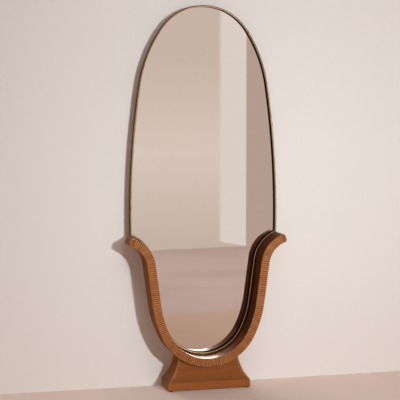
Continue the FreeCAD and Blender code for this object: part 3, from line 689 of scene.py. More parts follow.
@dataclass(frozen=True)
class Grain:
    """Wood grain along the vector's first axis: growth bands, streaks, fine pores and blotches.

    Bands are a sine of coordinates that run nine times slower along the grain than across it.
    Streaks are noise drawn out thirteen times along the grain. Pores are the peaks of very fine
    noise, drawn out eighteen times. The weights say how much each adds to the dark colour.
    """

    band_stretch: Place = (1.0, 9.0, 9.0)
    band_scale: float = 5.5
    band_bend: float = 5.0
    band_weight: float = 0.28
    cloud_scale: float = 3.2
    cloud_weight: float = 0.3
    streak_stretch: Place = (7.0, 90.0, 90.0)
    streak_scale: float = 1.6
    streak_weight: float = 0.62
    streak_height: float = 0.35
    pore_stretch: Place = (60.0, 1100.0, 1100.0)
    pore_range: Range = (0.58, 0.7)
    pore_weight: float = 0.42
    pore_tone: Colour = linear(52, 28, 16)
    blotch_scale: float = 7.0
    blotch_weight: float = 0.22
    dark_range: Range = (0.3, 0.82)
    roughness: Range = (0.3, 0.42)

    def build(self) -> bpy.types.NodeTree:
        """Builds the group.

        Returns:
            The group, with Vector, Light and Dark in, and Color, Roughness and Height out.
        """
        tree, nodes, given = group(
            "wood_grain",
            {"Vector": "Vector", "Light": "Color", "Dark": "Color"},
            {"Color": "Color", "Roughness": "Float", "Height": "Float"},
        )
        vector, light, deep = given["Vector"], given["Light"], given["Dark"]
        long = nodes.stretch(vector, self.band_stretch)
        clouds = nodes.noise(long, self.cloud_scale, 2.0)
        wave = {"Vector": long, "Scale": self.band_scale, "Distortion": self.band_bend}
        wave |= {"Detail": 2.0, "Detail Scale": 0.8}
        bands = nodes.add("TexWave", wave, bands_direction="DIAGONAL").outputs["Fac"]
        streaks = nodes.stretch(vector, self.streak_stretch)
        streaks = nodes.noise(streaks, self.streak_scale, 5.0, 0.4)
        pores = nodes.noise(nodes.stretch(vector, self.pore_stretch), 1.0, 2.0)
        pores = nodes.span(pores, self.pore_range)
        blotch = nodes.noise(vector, self.blotch_scale, 2.0)
        dark = nodes.weigh(bands, self.band_weight, nodes.times(streaks, self.streak_weight))
        dark = nodes.weigh(clouds, self.cloud_weight, dark)
        color = nodes.mix(nodes.span(dark, self.dark_range), light, deep)
        color = nodes.mix(nodes.span(blotch, (0.3, 0.75), (0.0, self.blotch_weight)), color, deep)
        color = nodes.mix(nodes.times(pores, self.pore_weight), color, self.pore_tone)
        rough = nodes.span(streaks, (0.3, 0.7), self.roughness)
        height = nodes.weigh(pores, -1.0, nodes.times(streaks, self.streak_height))
        nodes.give({"Color": color, "Roughness": rough, "Height": height})
        return tree


@dataclass(frozen=True)
class WearAndCrestHighlight:
    """Rubbed edges, and painted highlights on the reed crests: the piece's own wear mask, broken up by
    noise into patches.
    """

    patch_scale: float = 26.0
    patch_range: Range = (0.35, 0.65)
    least: float = 0.25

    def build(self) -> bpy.types.NodeTree:
        """Builds the group.

        Returns:
            The group, with Vector and Amount in, and Mask out.
        """
        inputs = {"Vector": "Vector", "Amount": "Float"}
        tree, nodes, given = group("wear_and_crest_highlight", inputs, {"Mask": "Float"})
        noise = nodes.noise(given["Vector"], self.patch_scale, 4.0)
        patches = nodes.span(noise, self.patch_range, (self.least, 1.0))
        worn = nodes.times(nodes.mask(Mask.WEAR_AND_HIGHLIGHT), patches)
        nodes.give({"Mask": nodes.times(worn, given["Amount"])})
        return tree


@dataclass(frozen=True)
class HandlingMarks:
    """Fine handling marks: drawn lines along the first axis and soft cloudy tarnish."""

    line_stretch: Place = (25.0, 1400.0, 1400.0)
    line_height: float = 0.6
    cloud_scale: float = 38.0
    cloud_height: float = 0.4

    def build(self) -> bpy.types.NodeTree:
        """Builds the group.

        Returns:
            The group, with Vector in, and Lines, Cloud and Height out.
        """
        outputs = {"Lines": "Float", "Cloud": "Float", "Height": "Float"}
        tree, nodes, given = group("handling_marks", {"Vector": "Vector"}, outputs)
        lines = nodes.noise(nodes.stretch(given["Vector"], self.line_stretch), 1.0, 3.0)
        cloud = nodes.noise(given["Vector"], self.cloud_scale, 5.0, 0.6)
        height = nodes.weigh(cloud, self.cloud_height, nodes.times(lines, self.line_height))
        nodes.give({"Lines": lines, "Cloud": cloud, "Height": height})
        return tree


@dataclass
class Workshop:
    """The shared node groups, built once, and how each finish starts and ends."""

    grain: bpy.types.NodeTree = field(default_factory=lambda: Grain().build())
    # Rubbed edges, and the painted highlight on the facing's reed crests.
    wear: bpy.types.NodeTree = field(default_factory=lambda: WearAndCrestHighlight().build())
    marks: bpy.types.NodeTree = field(default_factory=lambda: HandlingMarks().build())
    bump_strength: float = 0.6

    def start(self, name: str, coordinates: Coordinates) -> tuple[Material, Nodes, Socket]:
        """A material with an empty tree.

        Args:
            name: The material's name.
            coordinates: Where its pattern is read.

        Returns:
            The material, a Nodes that adds to it, and the pattern's vector.
        """
        material, nodes = blank_material(name)
        if coordinates is Coordinates.RUN:
            return material, nodes, nodes.add("UVMap", uv_map="run").outputs[0]
        return material, nodes, nodes.add("TexCoord").outputs["Object"]

    def place(
        self, nodes: Nodes, tree: bpy.types.NodeTree, inputs: dict[str, Value]
    ) -> Sequence[Socket]:
        """A shared group placed in a material with that material's own values."""
        return nodes.add("Group", inputs, node_tree=tree).outputs

    def end(self, nodes: Nodes, height: Socket, relief: float, inputs: dict[str, Value]) -> None:
        """Ends a material with a bump and one principled shader.

        Args:
            nodes: The material's nodes.
            height: The bump's height, 0 to 1.
            relief: What a height of 1 is in metres.
            inputs: The shader's sockets.
        """
        bump = {"Strength": self.bump_strength, "Distance": relief, "Height": height}
        normal = nodes.add("Bump", bump).outputs[0]
        shader = nodes.add("BsdfPrincipled", {**inputs, "Normal": normal})
        nodes.add("OutputMaterial", {0: shader.outputs[0]})


@dataclass(frozen=True)
class StainedWood:
    """Close-grained hardwood, stained brown under a satin lacquer."""

    name: str
    coordinates: Coordinates
    light: Colour
    dark: Colour
    # Tone of the stain in the grooves, and of painted shade in the grooves, on inner faces and over the
    # plinth.
    groove_and_shade_tone: Colour = linear(96, 56, 32)
    # Colour of rubbed edges, and of the painted highlight on the facing's reed crests.
    rubbed: Colour = linear(196, 142, 98)
    coat: float = 0.3
    polished_coat: float = 0.3
    polish_range: Range = (0.35, 0.95)
    coat_roughness: float = 0.2
    coat_ior: float = 1.5
    specular: float = 0.15
    ior: float = 1.48
    # How far the mask darkens towards that tone: stain and painted shade.
    stain_and_shade: float = 0.85
    wear: float = 0.4
    worn_roughness: float = 0.15
    relief: float = 0.12 * MM
    across: bool = False

    def build(self, shop: Workshop) -> Material:
        """Builds the material: grain, darker stain and painted shade where its mask says, paler rubbed
        edges and painted crest highlights.

        Args:
            shop: The shared groups.

        Returns:
            The material.
        """
        material, nodes, vector = shop.start(self.name, self.coordinates)
        if self.across:
            axes = nodes.axes(vector)
            vector = nodes.add("CombineXYZ", {0: axes[1], 1: axes[0]}).outputs[0]
        tones = {"Vector": vector, "Light": self.light, "Dark": self.dark}
        grain = shop.place(nodes, shop.grain, tones)
        worn = shop.place(nodes, shop.wear, {"Vector": vector, "Amount": self.wear})["Mask"]
        # Stain, and painted shade in the grooves, on inner faces and over the plinth.
        stain_and_shade_share = nodes.times(nodes.mask(Mask.STAIN_AND_SHADE), self.stain_and_shade)
        color = nodes.mix(stain_and_shade_share, grain["Color"], self.groove_and_shade_tone)
        coats = (self.coat, self.polished_coat)
        inputs = {
            # Paler where rubbed, and where the facing's reed crests carry a painted highlight.
            "Base Color": nodes.mix(worn, color, self.rubbed),
            "Roughness": nodes.weigh(worn, self.worn_roughness, grain["Roughness"]),
            "Coat Weight": nodes.span(nodes.mask(Mask.POLISH), self.polish_range, coats),
            "Coat Roughness": self.coat_roughness,
            "Coat IOR": self.coat_ior,
            "Specular IOR Level": self.specular,
            "IOR": self.ior,
        }
        shop.end(nodes, grain["Height"], self.relief, inputs)
        return material


@dataclass(frozen=True)
class Metal:
    """A metal with drawn lines, cloudy tarnish, brighter rubbed edges and a patina that also paints
    shade.
    """

    name: str
    coordinates: Coordinates
    bright: Colour
    tarnish: Colour
    roughness: float
    tarnish_share: float = 0.6
    line_share: float = 0.18
    # Patina colour; on the frame's outer side it also paints the shade.
    patina_and_shade: Colour = linear(40, 26, 12)
    specular: float = 0.1
    wear: float = 0.8
    cloud_roughness: float = 0.16
    patina_roughness: float = 0.25
    worn_roughness: float = -0.08
    relief: float = 0.04 * MM

    def build(self, shop: Workshop) -> Material:
        """Builds the material: tarnish in clouds, patina with painted shade by the piece's own mask,
        rubbed edges.

        Args:
            shop: The shared groups.

        Returns:
            The material.
        """
        material, nodes, vector = shop.start(self.name, self.coordinates)
        marks = shop.place(nodes, shop.marks, {"Vector": vector})
        worn = shop.place(nodes, shop.wear, {"Vector": vector, "Amount": self.wear})["Mask"]
        # Patina, and on the frame's outer side painted shade, by the piece's own mask.
        patina_and_shade_share = nodes.mask(Mask.STAIN_AND_SHADE)
        dull = nodes.span(marks["Cloud"], (0.38, 0.68), (0.0, self.tarnish_share))
        drawn = nodes.span(marks["Lines"], (0.35, 0.7), (0.0, self.line_share))
        color = nodes.mix(drawn, nodes.mix(dull, self.bright, self.tarnish), self.tarnish)
        color = nodes.mix(patina_and_shade_share, nodes.mix(worn, color, self.bright), self.patina_and_shade)
        least = self.roughness - self.cloud_roughness / 2
        rough = nodes.weigh(marks["Cloud"], self.cloud_roughness, least)
        rough = nodes.weigh(patina_and_shade_share, self.patina_roughness, rough)
        inputs = {
            "Base Color": color,
            "Roughness": nodes.weigh(worn, self.worn_roughness, rough),
            "Metallic": nodes.math("SUBTRACT", 1.0, patina_and_shade_share),
            "Specular IOR Level": self.specular,
        }
        shop.end(nodes, marks["Height"], self.relief, inputs)
        return material


@dataclass(frozen=True)
class Silvering:
    """Silvered float glass with the faintest dust."""

    name: str = "silvered_glass"
    tint: Colour = (0.9, 0.885, 0.865, 1.0)
    dust: Colour = linear(214, 205, 192)
    dust_share: float = 0.05
    roughness: Range = (0.006, 0.02)

    def build(self, shop: Workshop) -> Material:
        """Builds the material.

        Args:
            shop: The shared groups.

        Returns:
            The material.
        """
        material, nodes, vector = shop.start(self.name, Coordinates.OBJECT)
        cloud = shop.place(nodes, shop.marks, {"Vector": vector})["Cloud"]
        rough = nodes.span(cloud, (0.45, 0.85), self.roughness)
        dusty = nodes.span(cloud, (0.5, 0.9), (0.0, self.dust_share))
        color = nodes.mix(dusty, self.tint, self.dust)
        inputs = {"Base Color": color, "Roughness": rough, "Metallic": 1.0}
        shader = nodes.add("BsdfPrincipled", inputs)
        nodes.add("OutputMaterial", {0: shader.outputs[0]})
        return material


@dataclass(frozen=True)
class Moulded:
    """Rubber, foam or plastic: one tone with a fine speckle, matt."""

    name: str
    tone: Colour
    speck: Colour
    roughness: float
    speck_scale: float
    relief: float
    specular: float = 0.3
    cloud_roughness: float = 0.2

    def build(self, shop: Workshop) -> Material:
        """Builds the material.

        Args:
            shop: The shared groups.

        Returns:
            The material.
        """
        material, nodes, vector = shop.start(self.name, Coordinates.OBJECT)
        cloud = shop.place(nodes, shop.marks, {"Vector": vector})["Cloud"]
        fine = nodes.noise(vector, self.speck_scale, 2.0)
        share = nodes.times(nodes.span(fine, (0.4, 0.75)), nodes.span(cloud, (0.2, 0.8)))
        least = self.roughness - self.cloud_roughness / 2
        inputs = {
            "Base Color": nodes.mix(share, self.tone, self.speck),
            "Roughness": nodes.weigh(cloud, self.cloud_roughness, least),
            "Specular IOR Level": self.specular,
        }
        shop.end(nodes, fine, self.relief, inputs)
        return material


@dataclass(frozen=True)
class Hardboard:
    """Pressed fibre board whose back keeps the print of the press screen."""

    name: str = "pressed_board"
    light: Colour = linear(172, 132, 94)
    dark: Colour = linear(130, 94, 63)
    fibre_stretch: Place = (420.0, 1.0, 420.0)
    fibre_height: float = 0.4
    cloud_share: float = 0.4
    mesh_pitch: float = 1.8 * MM
    mesh_share: float = 0.25
    mesh_height: float = -0.7
    roughness: float = 0.72
    relief: float = 0.2 * MM

    def build(self, shop: Workshop) -> Material:
        """Builds the material: fibres, darker clouds and a screen print of crossed sines.

        Args:
            shop: The shared groups.

        Returns:
            The material.
        """
        material, nodes, vector = shop.start(self.name, Coordinates.OBJECT)
        fibres = nodes.noise(nodes.stretch(vector, self.fibre_stretch), 1.0, 4.0, 1.5)
        cloud = shop.place(nodes, shop.marks, {"Vector": vector})["Cloud"]
        axes = nodes.axes(vector)
        waves = [
            nodes.math("ABSOLUTE", nodes.math("SINE", nodes.times(axis, 2 * math.pi / self.mesh_pitch)))
            for axis in (axes["X"], axes["Z"])
        ]
        screen = nodes.times(*waves)
        color = nodes.mix(nodes.span(fibres, (0.3, 0.7)), self.light, self.dark)
        color = nodes.mix(nodes.span(cloud, (0.3, 0.8), (0.0, self.cloud_share)), color, self.dark)
        color = nodes.mix(nodes.times(screen, self.mesh_share), color, self.dark)
        height = nodes.weigh(screen, self.mesh_height, nodes.times(fibres, self.fibre_height))
        shop.end(nodes, height, self.relief, {"Base Color": color, "Roughness": self.roughness})
        return material


@dataclass
class Finishes:
    """Every finish of the object, built once."""

    shop: Workshop = field(default_factory=Workshop)
    made: dict[str, Material] = field(default_factory=dict)

    def woods(self) -> list[StainedWood]:
        """The stained woods of the cradle and the foot, and the plain beech of the dowels.

        Returns:
            The recipes.
        """
        matt = {"coat": 0.01, "polished_coat": 0.01, "specular": 0.01}
        return [
            # The facing's rubbed colour also paints the highlight on the reed crests, and its groove
            # tone the shade in the grooves.
            StainedWood(
                "facing_wood", Coordinates.RUN, light=linear(208, 140, 88), dark=linear(154, 90, 47),
                groove_and_shade_tone=linear(58, 32, 17), rubbed=linear(230, 176, 122), stain_and_shade=1.0, across=True,
                coat=0.15, polished_coat=1.0, coat_roughness=0.17, specular=0.08,
            ),
            # A darker copy of the facing's wood, for the arms' sides and inner faces: darker stain with
            # painted shade.
            StainedWood(
                "core_wood_painted_shade", Coordinates.RUN, light=linear(158, 94, 54), dark=linear(126, 70, 38),
                groove_and_shade_tone=linear(66, 34, 18),
                coat=0.01, polished_coat=1.0, coat_roughness=0.17, specular=0.015,
            ),
            # Its groove tone paints the shade over the plinth.
            StainedWood(
                "foot_wood", Coordinates.OBJECT, light=linear(152, 92, 50), dark=linear(132, 79, 42),
                groove_and_shade_tone=linear(58, 32, 17), **matt,
            ),
            # A lighter copy of the foot's wood: the plinth band's extra brightness is painted light.
            StainedWood(
                "plinth_wood_painted_light", Coordinates.OBJECT, light=linear(168, 103, 57),
                dark=linear(147, 88, 47), **matt,
            ),
            StainedWood(
                "dowel_beech", Coordinates.OBJECT, light=linear(214, 178, 136),
                dark=linear(186, 146, 104),
            ),
        ]

    def metals(self) -> list[Metal]:
        """The brass of the frame and the fittings, the zinc plate and the spring steel.

        Returns:
            The recipes.
        """
        return [
            # Its patina colour also paints the shade on the frame's outer side.
            Metal(
                "aged_brass", Coordinates.RUN, bright=(0.82, 0.66, 0.41, 1),
                tarnish=(0.54, 0.39, 0.22, 1), roughness=0.24, patina_and_shade=linear(40, 25, 12),
                specular=0.01,
            ),
            Metal(
                "fitting_brass", Coordinates.OBJECT, bright=(0.78, 0.6, 0.32, 1),
                tarnish=(0.5, 0.36, 0.18, 1), roughness=0.28,
            ),
            Metal(
                "zinc_plate", Coordinates.OBJECT, bright=(0.68, 0.69, 0.71, 1),
                tarnish=(0.48, 0.5, 0.52, 1), roughness=0.36,
            ),
            Metal(
                "spring_steel", Coordinates.OBJECT, bright=(0.3, 0.32, 0.36, 1),
                tarnish=(0.16, 0.16, 0.2, 1), roughness=0.3,
            ),
        ]

    def mouldings(self) -> list[Moulded]:
        """The rubber seats and strip, the foam pads and the plastic glides.

        Returns:
            The recipes.
        """
        return [
            Moulded(
                "black_rubber", tone=linear(14, 9, 7), speck=linear(27, 20, 16), roughness=0.7,
                speck_scale=2400.0, relief=0.05 * MM, specular=0.05,
            ),
            Moulded(
                "grey_foam", tone=linear(62, 62, 64), speck=linear(92, 92, 94), roughness=0.9,
                speck_scale=1600.0, relief=0.4 * MM,
            ),
            Moulded(
                "glide_plastic", tone=linear(30, 27, 25), speck=linear(52, 48, 45), roughness=0.5,
                speck_scale=3000.0, relief=0.03 * MM,
            ),
        ]

    def build(self) -> "Finishes":
        """Builds the materials and keeps them by name.

        Returns:
            Itself.
        """
        recipes = [*self.woods(), *self.metals(), Silvering(), *self.mouldings(), Hardboard()]
        self.made = {recipe.name: recipe.build(self.shop) for recipe in recipes}
        return self

    def dress(self, node: str, name: str) -> None:
        """Gives a CAD node's object one of the finishes.

        Args:
            node: The node's name.
            name: The finish.
        """
        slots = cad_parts[node].material_slots
        if not slots:
            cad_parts[node].data.materials.append(self.made[name])
        for slot in slots:
            slot.material = self.made[name]
        log.info("%s: CAD node, finished in %s", node, name)


@dataclass
class BrassFrame:
    """The channel round the glass: an arch rail and a tulip rail, mitred at two corners."""

    curves: Curves
    lip_front: float = 25 * MM
    depth: float = 32 * MM
    lip: float = 8 * MM
    flange: float = 18 * MM
    wall: float = 2 * MM
    crown: float = 0.9 * MM
    crown_slope: float = 0.3
    outer_round: float = 0.8 * MM
    crown_round: float = 1.4 * MM
    return_round: float = 0.7 * MM
    bend_round: float = 0.3 * MM
    fold_round: float = 0.5 * MM
    # Patina on the outer side, deepened there as painted shade.
    side_patina_and_shade: float = 0.95
    step: float = 5 * MM

    def section(self) -> tuple[Array, Array, Array]:
        """The channel's section: a softly crowned lip, the side wall and the back flange.

        Returns:
            The insets and depths of its points, their wear and their patina. Patina is none on the
            lip's face, full on its inner return and deep on the outer side, where it also paints the
            shade.
        """
        front, back, wall = self.lip_front, self.lip_front + self.depth, self.wall
        edge, slope = front + self.crown, self.crown_slope
        corners = [
            (0, edge), (slope * self.lip, front), ((1 - slope) * self.lip, front), (self.lip, edge),
            (self.lip, front + wall), (wall, front + wall), (wall, back - wall),
            (self.flange, back - wall), (self.flange, back), (0, back),
        ]
        lip_radii = [self.outer_round, self.crown_round, self.crown_round, self.return_round]
        fold_radii = [self.bend_round, *[self.fold_round] * 4, self.outer_round]
        outline, wear = rounded(corners, lip_radii + fold_radii)
        inset, depth = outline.T
        behind = np.clip((depth - edge) / (self.crown / 2) - 0.5, 0, 1)
        # Patina, full on the inner return, and on the outer side deepened as painted shade.
        patina_and_shade = np.where(inset > self.lip / 2, 1.0, self.side_patina_and_shade) * behind
        return outline, np.where(depth < front + wall / 2, wear, 0.0), patina_and_shade

    def build(self, finishes: Finishes) -> None:
        """Sweeps the section along the two rails.

        Args:
            finishes: The object's finishes.
        """
        section, wear, patina_and_shade = self.section()
        runs = {
            "frame_arch_rail": self.curves.arch(section[:, 0], self.step),
            "frame_tulip_rail": self.curves.tulip(section[:, 0], self.step),
        }
        for node, run in runs.items():
            masks = {Mask.WEAR_AND_HIGHLIGHT: wear, Mask.STAIN_AND_SHADE: patina_and_shade}
            rail = wrap(lift(run, section[:, 1]), masks, caps=True)
            add_piece(node, "brass", [rail], finishes.made["aged_brass"])


@dataclass
class Cradle:
    """The wooden U with its two arms: a smooth core behind a reeded facing."""

    curves: Curves
    front: float = -75 * MM
    core_front: float = -67 * MM
    back: float = 57 * MM
    width: float = 41 * MM
    edge: float = 1.6 * MM
    pitch: float = 9.8 * MM
    reed_depth: float = 2 * MM
    reed_power: float = 0.6
    groove_reach: float = 2.4 * MM
    crest_depth: float = 0.25
    samples: int = 14
    core_samples: float = 1.5
    core_points: int = 121
    face_points: int = 7
    tip_points: int = 12
    edge_rows: int = 4
    plain_tip: float = 18 * MM
    fade: float = 14 * MM
    # Painted shade on the core's inner face, and the share of it kept at the curl's end.
    inner_painted_shade: float = 0.74
    curl_shade_share: float = 0.3
    # Painted highlight on the reed crests, on the arms and on the bow.
    crest_highlight: float = 0.8
    bow_crest_highlight: float = 0.15
    tip_wear: float = 0.1
    tip_tone: float = 0.36
    tip_levels: tuple[float, ...] = (0.7, 0.4, 0.1, 0.0)
    polish_power: float = 0.35
    top_round: float = 14 * MM
    low_round: float = 10 * MM

    @property
    def plain_angle(self) -> float:
        """The curl's steepness in radians where its flutes end and its plain tip begins."""
        middle_radius = self.curves.curl_radius - self.width / 2
        return math.radians(self.curves.tip_angle) + self.plain_tip / middle_radius

    def retreat(self, out: Array) -> Array:
        """How far the rounded tip draws back at each distance out.

        Inside a rounding of radius r, at x from its edge, it is r minus the root of r squared
        less (r - x) squared.

        Args:
            out: Distances outside the inner face.

        Returns:
            Lengths along the curl.
        """
        near = np.clip(self.top_round - out, 0, None)
        far = np.clip(self.low_round - (self.width - out), 0, None)
        pull = self.top_round - np.sqrt(self.top_round**2 - near**2)
        return pull + self.low_round - np.sqrt(self.low_round**2 - far**2)

    def flute_counts(self) -> list[int]:
        """Whole flutes on the bow, the bend, the straight run and the curl.

        Returns:
            The four numbers: each length on the facing's middle line, divided by the pitch.
        """
        half, curves = self.width / 2, self.curves
        lengths = (
            2 * curves.bow_end * (curves.bow_radius + half),
            (curves.lean - curves.bow_end) * (curves.flank_radius + half),
            curves.arm_straight,
            (curves.lean - self.plain_angle) * (curves.curl_radius - half),
        )
        return [max(1, round(length / self.pitch)) for length in lengths]

    def arm(self, out: Array, per_flute: float) -> tuple[Array, Array]:
        """The right arm from the bow to its rounded tip.

        Args:
            out: Distances outside the inner face, one column for each.
            per_flute: Points along each flute's pitch.

        Returns:
            Points of shape count, columns, 2, and each row's number of flutes from the start.
        """
        curves = self.curves
        flutes = self.flute_counts()[1:]
        counts = [1 + round(per_flute * number) for number in flutes]
        tip = math.radians(curves.tip_angle) + self.retreat(out) / (curves.curl_radius - out)
        run = join_runs([
            curves.flank(out, counts[0]),
            curves.straight_run(out, counts[1]),
            curves.curl(out, curves.lean, self.plain_angle, counts[2]),
            curves.curl(out, self.plain_angle, tip, self.tip_points),
        ])
        starts = np.cumsum([0, *flutes])
        places = [
            np.linspace(first, last, count)
            for first, last, count in zip(starts, starts[1:], counts)
        ]
        places.append(starts[-1] + np.linspace(0, self.plain_tip / self.pitch, self.tip_points))
        return run, join_runs(places)

    def facing_section(self) -> tuple[Array, Array]:
        """The facing's section, with extra points across its front between the two roundings.

        Returns:
            Distances out with depths, and their wear.
        """
        ends = (self.core_front, self.front, self.front, self.core_front)
        corners = list(zip((0, 0, self.width, self.width), ends))
        outline, wear = rounded(corners, [0, self.edge, self.edge, 0])
        across = np.linspace(self.edge, self.width - self.edge, self.face_points + 2)[1:-1]
        face = np.stack([across, np.full_like(across, self.front)], axis=1)
        half = len(outline) // 2
        section = np.concatenate([outline[:half], face, outline[half:]])
        return section, np.concatenate([wear[:half], 0 * across, wear[half:]])

    def core_section(self) -> tuple[Array, Array]:
        """The core's section, rounded at the back.

        Returns:
            Distances out with depths, and their wear.
        """
        ends = (self.core_front, self.core_front, self.back, self.back)
        corners = list(zip((0, self.width, self.width, 0), ends))
        return rounded(corners, [0, 0, 2 * self.edge, 2 * self.edge])

    def reeds(self, flutes: Array, end: float) -> Array:
        """Groove depth, 0 to 1, along the run.

        Between grooves each reed is rounded: 1 minus the cosine of half a turn per flute, its
        size raised to the reed power. Past the end the grooves fade out.

        Args:
            flutes: Each row's number of flutes from the start.
            end: Where the grooves begin to fade, in flutes.

        Returns:
            One depth for each row.
        """
        round_top = 1 - np.abs(np.cos(np.pi * flutes)) ** self.reed_power
        faded = np.clip((end - flutes) * self.pitch / self.fade + 1, 0, 1)
        return round_top * faded**2 * (3 - 2 * faded)

    def carved(self, run: Array, flutes: Array, end: float, crest_highlight: float) -> Skin:
        """The reeded facing. A reed's crest is where the groove is less deep than the crest depth.

        Args:
            run: The facing's points in the front view, one column for each of its section's.
            flutes: Each row's number of flutes from the start.
            end: Where the grooves begin to fade, in flutes.
            crest_highlight: How much painted highlight the crests get, through the wear mask.

        Returns:
            The facing with its wear, including painted crest highlights, and its recess: stain and
            painted shade in the grooves, and a darker plain tip.
        """
        section, wear = self.facing_section()
        face = np.clip(1 - (section[:, 1] - self.front) / self.groove_reach, 0, 1)
        grooves = self.reeds(flutes, end)[:, None]
        deep = grooves * face
        points = lift(run, section[:, 1] + self.reed_depth * deep)
        crest = np.clip(1 - grooves / self.crest_depth, 0, 1) * (flutes < end)[:, None]
        # Crests get a painted highlight through the wear mask.
        wear = np.maximum(wear * (1 - deep), crest_highlight * crest * face)
        past = np.clip((flutes - end + 1) * self.pitch / self.fade, 0, 1)[:, None]
        # Grooves darken with stain and painted shade; the plain tip darkens towards its end.
        return Skin(points, wear, np.maximum(deep, self.tip_tone * past))

    def closed_tip(self, skin: Skin, tip_recess: Array) -> Skin:
        """Closes a tip with rows that draw its depths in to the core's front.

        The rows move on along the run by the edge times the sine, and in from the face by the
        edge times one minus the cosine, of an angle that grows to a quarter turn. Flat rows
        follow, at the tip levels.

        Args:
            skin: An arm's facing or core.
            tip_recess: The new rows' recess, one value for each column.

        Returns:
            The skin with its tip closed.
        """
        last = skin.points[-1]
        along = last - skin.points[-2]
        along[:, 1] = 0
        along *= self.edge / np.linalg.norm(along, axis=1, keepdims=True)
        depth = last[:, 1] - self.core_front
        turn = np.linspace(0, QUARTER_TURN, self.edge_rows + 1)[1:, None]
        rounding = last + along * (np.sin(turn)[..., None] - 1)
        drawn_in = self.edge * (1 - np.cos(turn)) / np.abs(depth).max()
        rounding[..., 1] = self.core_front + depth * (1 - drawn_in)
        shares = np.array(self.tip_levels)[:, None]
        flat = np.repeat(rounding[-1:], len(shares), axis=0)
        flat[..., 1] = self.core_front + (flat[..., 1] - self.core_front) * shares
        rubbed = self.tip_wear * np.sin(2 * turn) * np.ones(len(last))
        added = self.edge_rows + len(shares)
        return Skin(
            np.concatenate([skin.points[:-1], [last - along], rounding, flat]),
            np.concatenate([skin.wear, rubbed, np.zeros(flat.shape[:2])]),
            np.concatenate([skin.recess, np.tile(tip_recess, (added, 1))]),
        )

    def polish(self, count: int, section: Array) -> Array:
        """Polish of the bow's inner face: 1 at its middle, less towards its two ends.

        Along the bow it is the cosine of an angle from minus to plus a quarter turn, raised to
        the polish power.

        Args:
            count: Points along the bow.
            section: Distances out with depths.

        Returns:
            Shape count, columns.
        """
        along = np.cos(np.linspace(-QUARTER_TURN, QUARTER_TURN, count))[:, None]
        return along**self.polish_power * (section[:, 0] < self.edge)

    def build_bow(self, wood: Material, dark: Material) -> None:
        """Builds the bow's facing and core, whose inner face gets painted shade where it isn't
        polished.

        Args:
            wood: The facing's finish.
            dark: The core's finish.
        """
        section, _ = self.facing_section()
        flutes = self.flute_counts()[0]
        count = 1 + self.samples * flutes
        run = self.curves.bow(section[:, 0], count)
        skin = self.carved(run, np.linspace(0, flutes, count), math.inf, self.bow_crest_highlight)
        masks = {Mask.WEAR_AND_HIGHLIGHT: skin.wear, Mask.STAIN_AND_SHADE: skin.recess}
        masks[Mask.POLISH] = self.polish(count, section)
        facing = wrap(skin.points, masks, caps=True)
        add_piece("facing_bow", "reeded", [facing], wood)

        section, wear = self.core_section()
        block = lift(self.curves.bow(section[:, 0], self.core_points), section[:, 1])
        polish = self.polish(self.core_points, section)
        # Painted shade on the inner face, left off where the bow is polished.
        stain_and_shade = self.inner_painted_shade * (section[:, 0] < self.edge) * (1 - polish)
        masks = {Mask.WEAR_AND_HIGHLIGHT: wear, Mask.STAIN_AND_SHADE: stain_and_shade, Mask.POLISH: polish}
        add_piece("cradle_bow", "core", [wrap(block, masks, caps=True)], dark)

    def arm_facing(self) -> Skin:
        """The right arm's facing.

        Returns:
            The facing with its tip closed.
        """
        section, _ = self.facing_section()
        run, flutes = self.arm(section[:, 0], self.samples)
        skin = self.carved(run, flutes, sum(self.flute_counts()[1:]), self.crest_highlight)
        return self.closed_tip(skin, skin.recess[-1])

    def arm_core(self) -> Skin:
        """The right arm's core, whose inner face gets painted shade, less so on the curl.

        Returns:
            The core with its tip closed.
        """
        section, wear = self.core_section()
        run, flutes = self.arm(section[:, 0], self.core_samples)
        _, bend, straight, curl = self.flute_counts()
        curled = np.clip((flutes - bend - straight) / curl, 0, 1)[:, None]
        # Painted shade on the inner face, fading on the curl to its share there.
        inside = self.inner_painted_shade * (section[:, 0] < self.edge)
        stain_and_shade = inside * (1 + (self.curl_shade_share - 1) * curled)
        skin = Skin(lift(run, section[:, 1]), np.broadcast_to(wear, stain_and_shade.shape), stain_and_shade)
        return self.closed_tip(skin, 0 * inside)

    def build(self, finishes: Finishes) -> None:
        """Builds the bow and the arms, each as a core and a facing.

        Args:
            finishes: The object's finishes.
        """
        wood, dark = finishes.made["facing_wood"], finishes.made["core_wood_painted_shade"]
        self.build_bow(wood, dark)
        facing, core = self.arm_facing(), self.arm_core()
        for side, flip in (("left", -1.0), ("right", 1.0)):
            for part, skin, material in (("facing", facing, wood), ("cradle", core, dark)):
                surface = skin.flipped(flip).surface()
                add_piece(f"{part}_arm_{side}", "shaped", [surface], material)


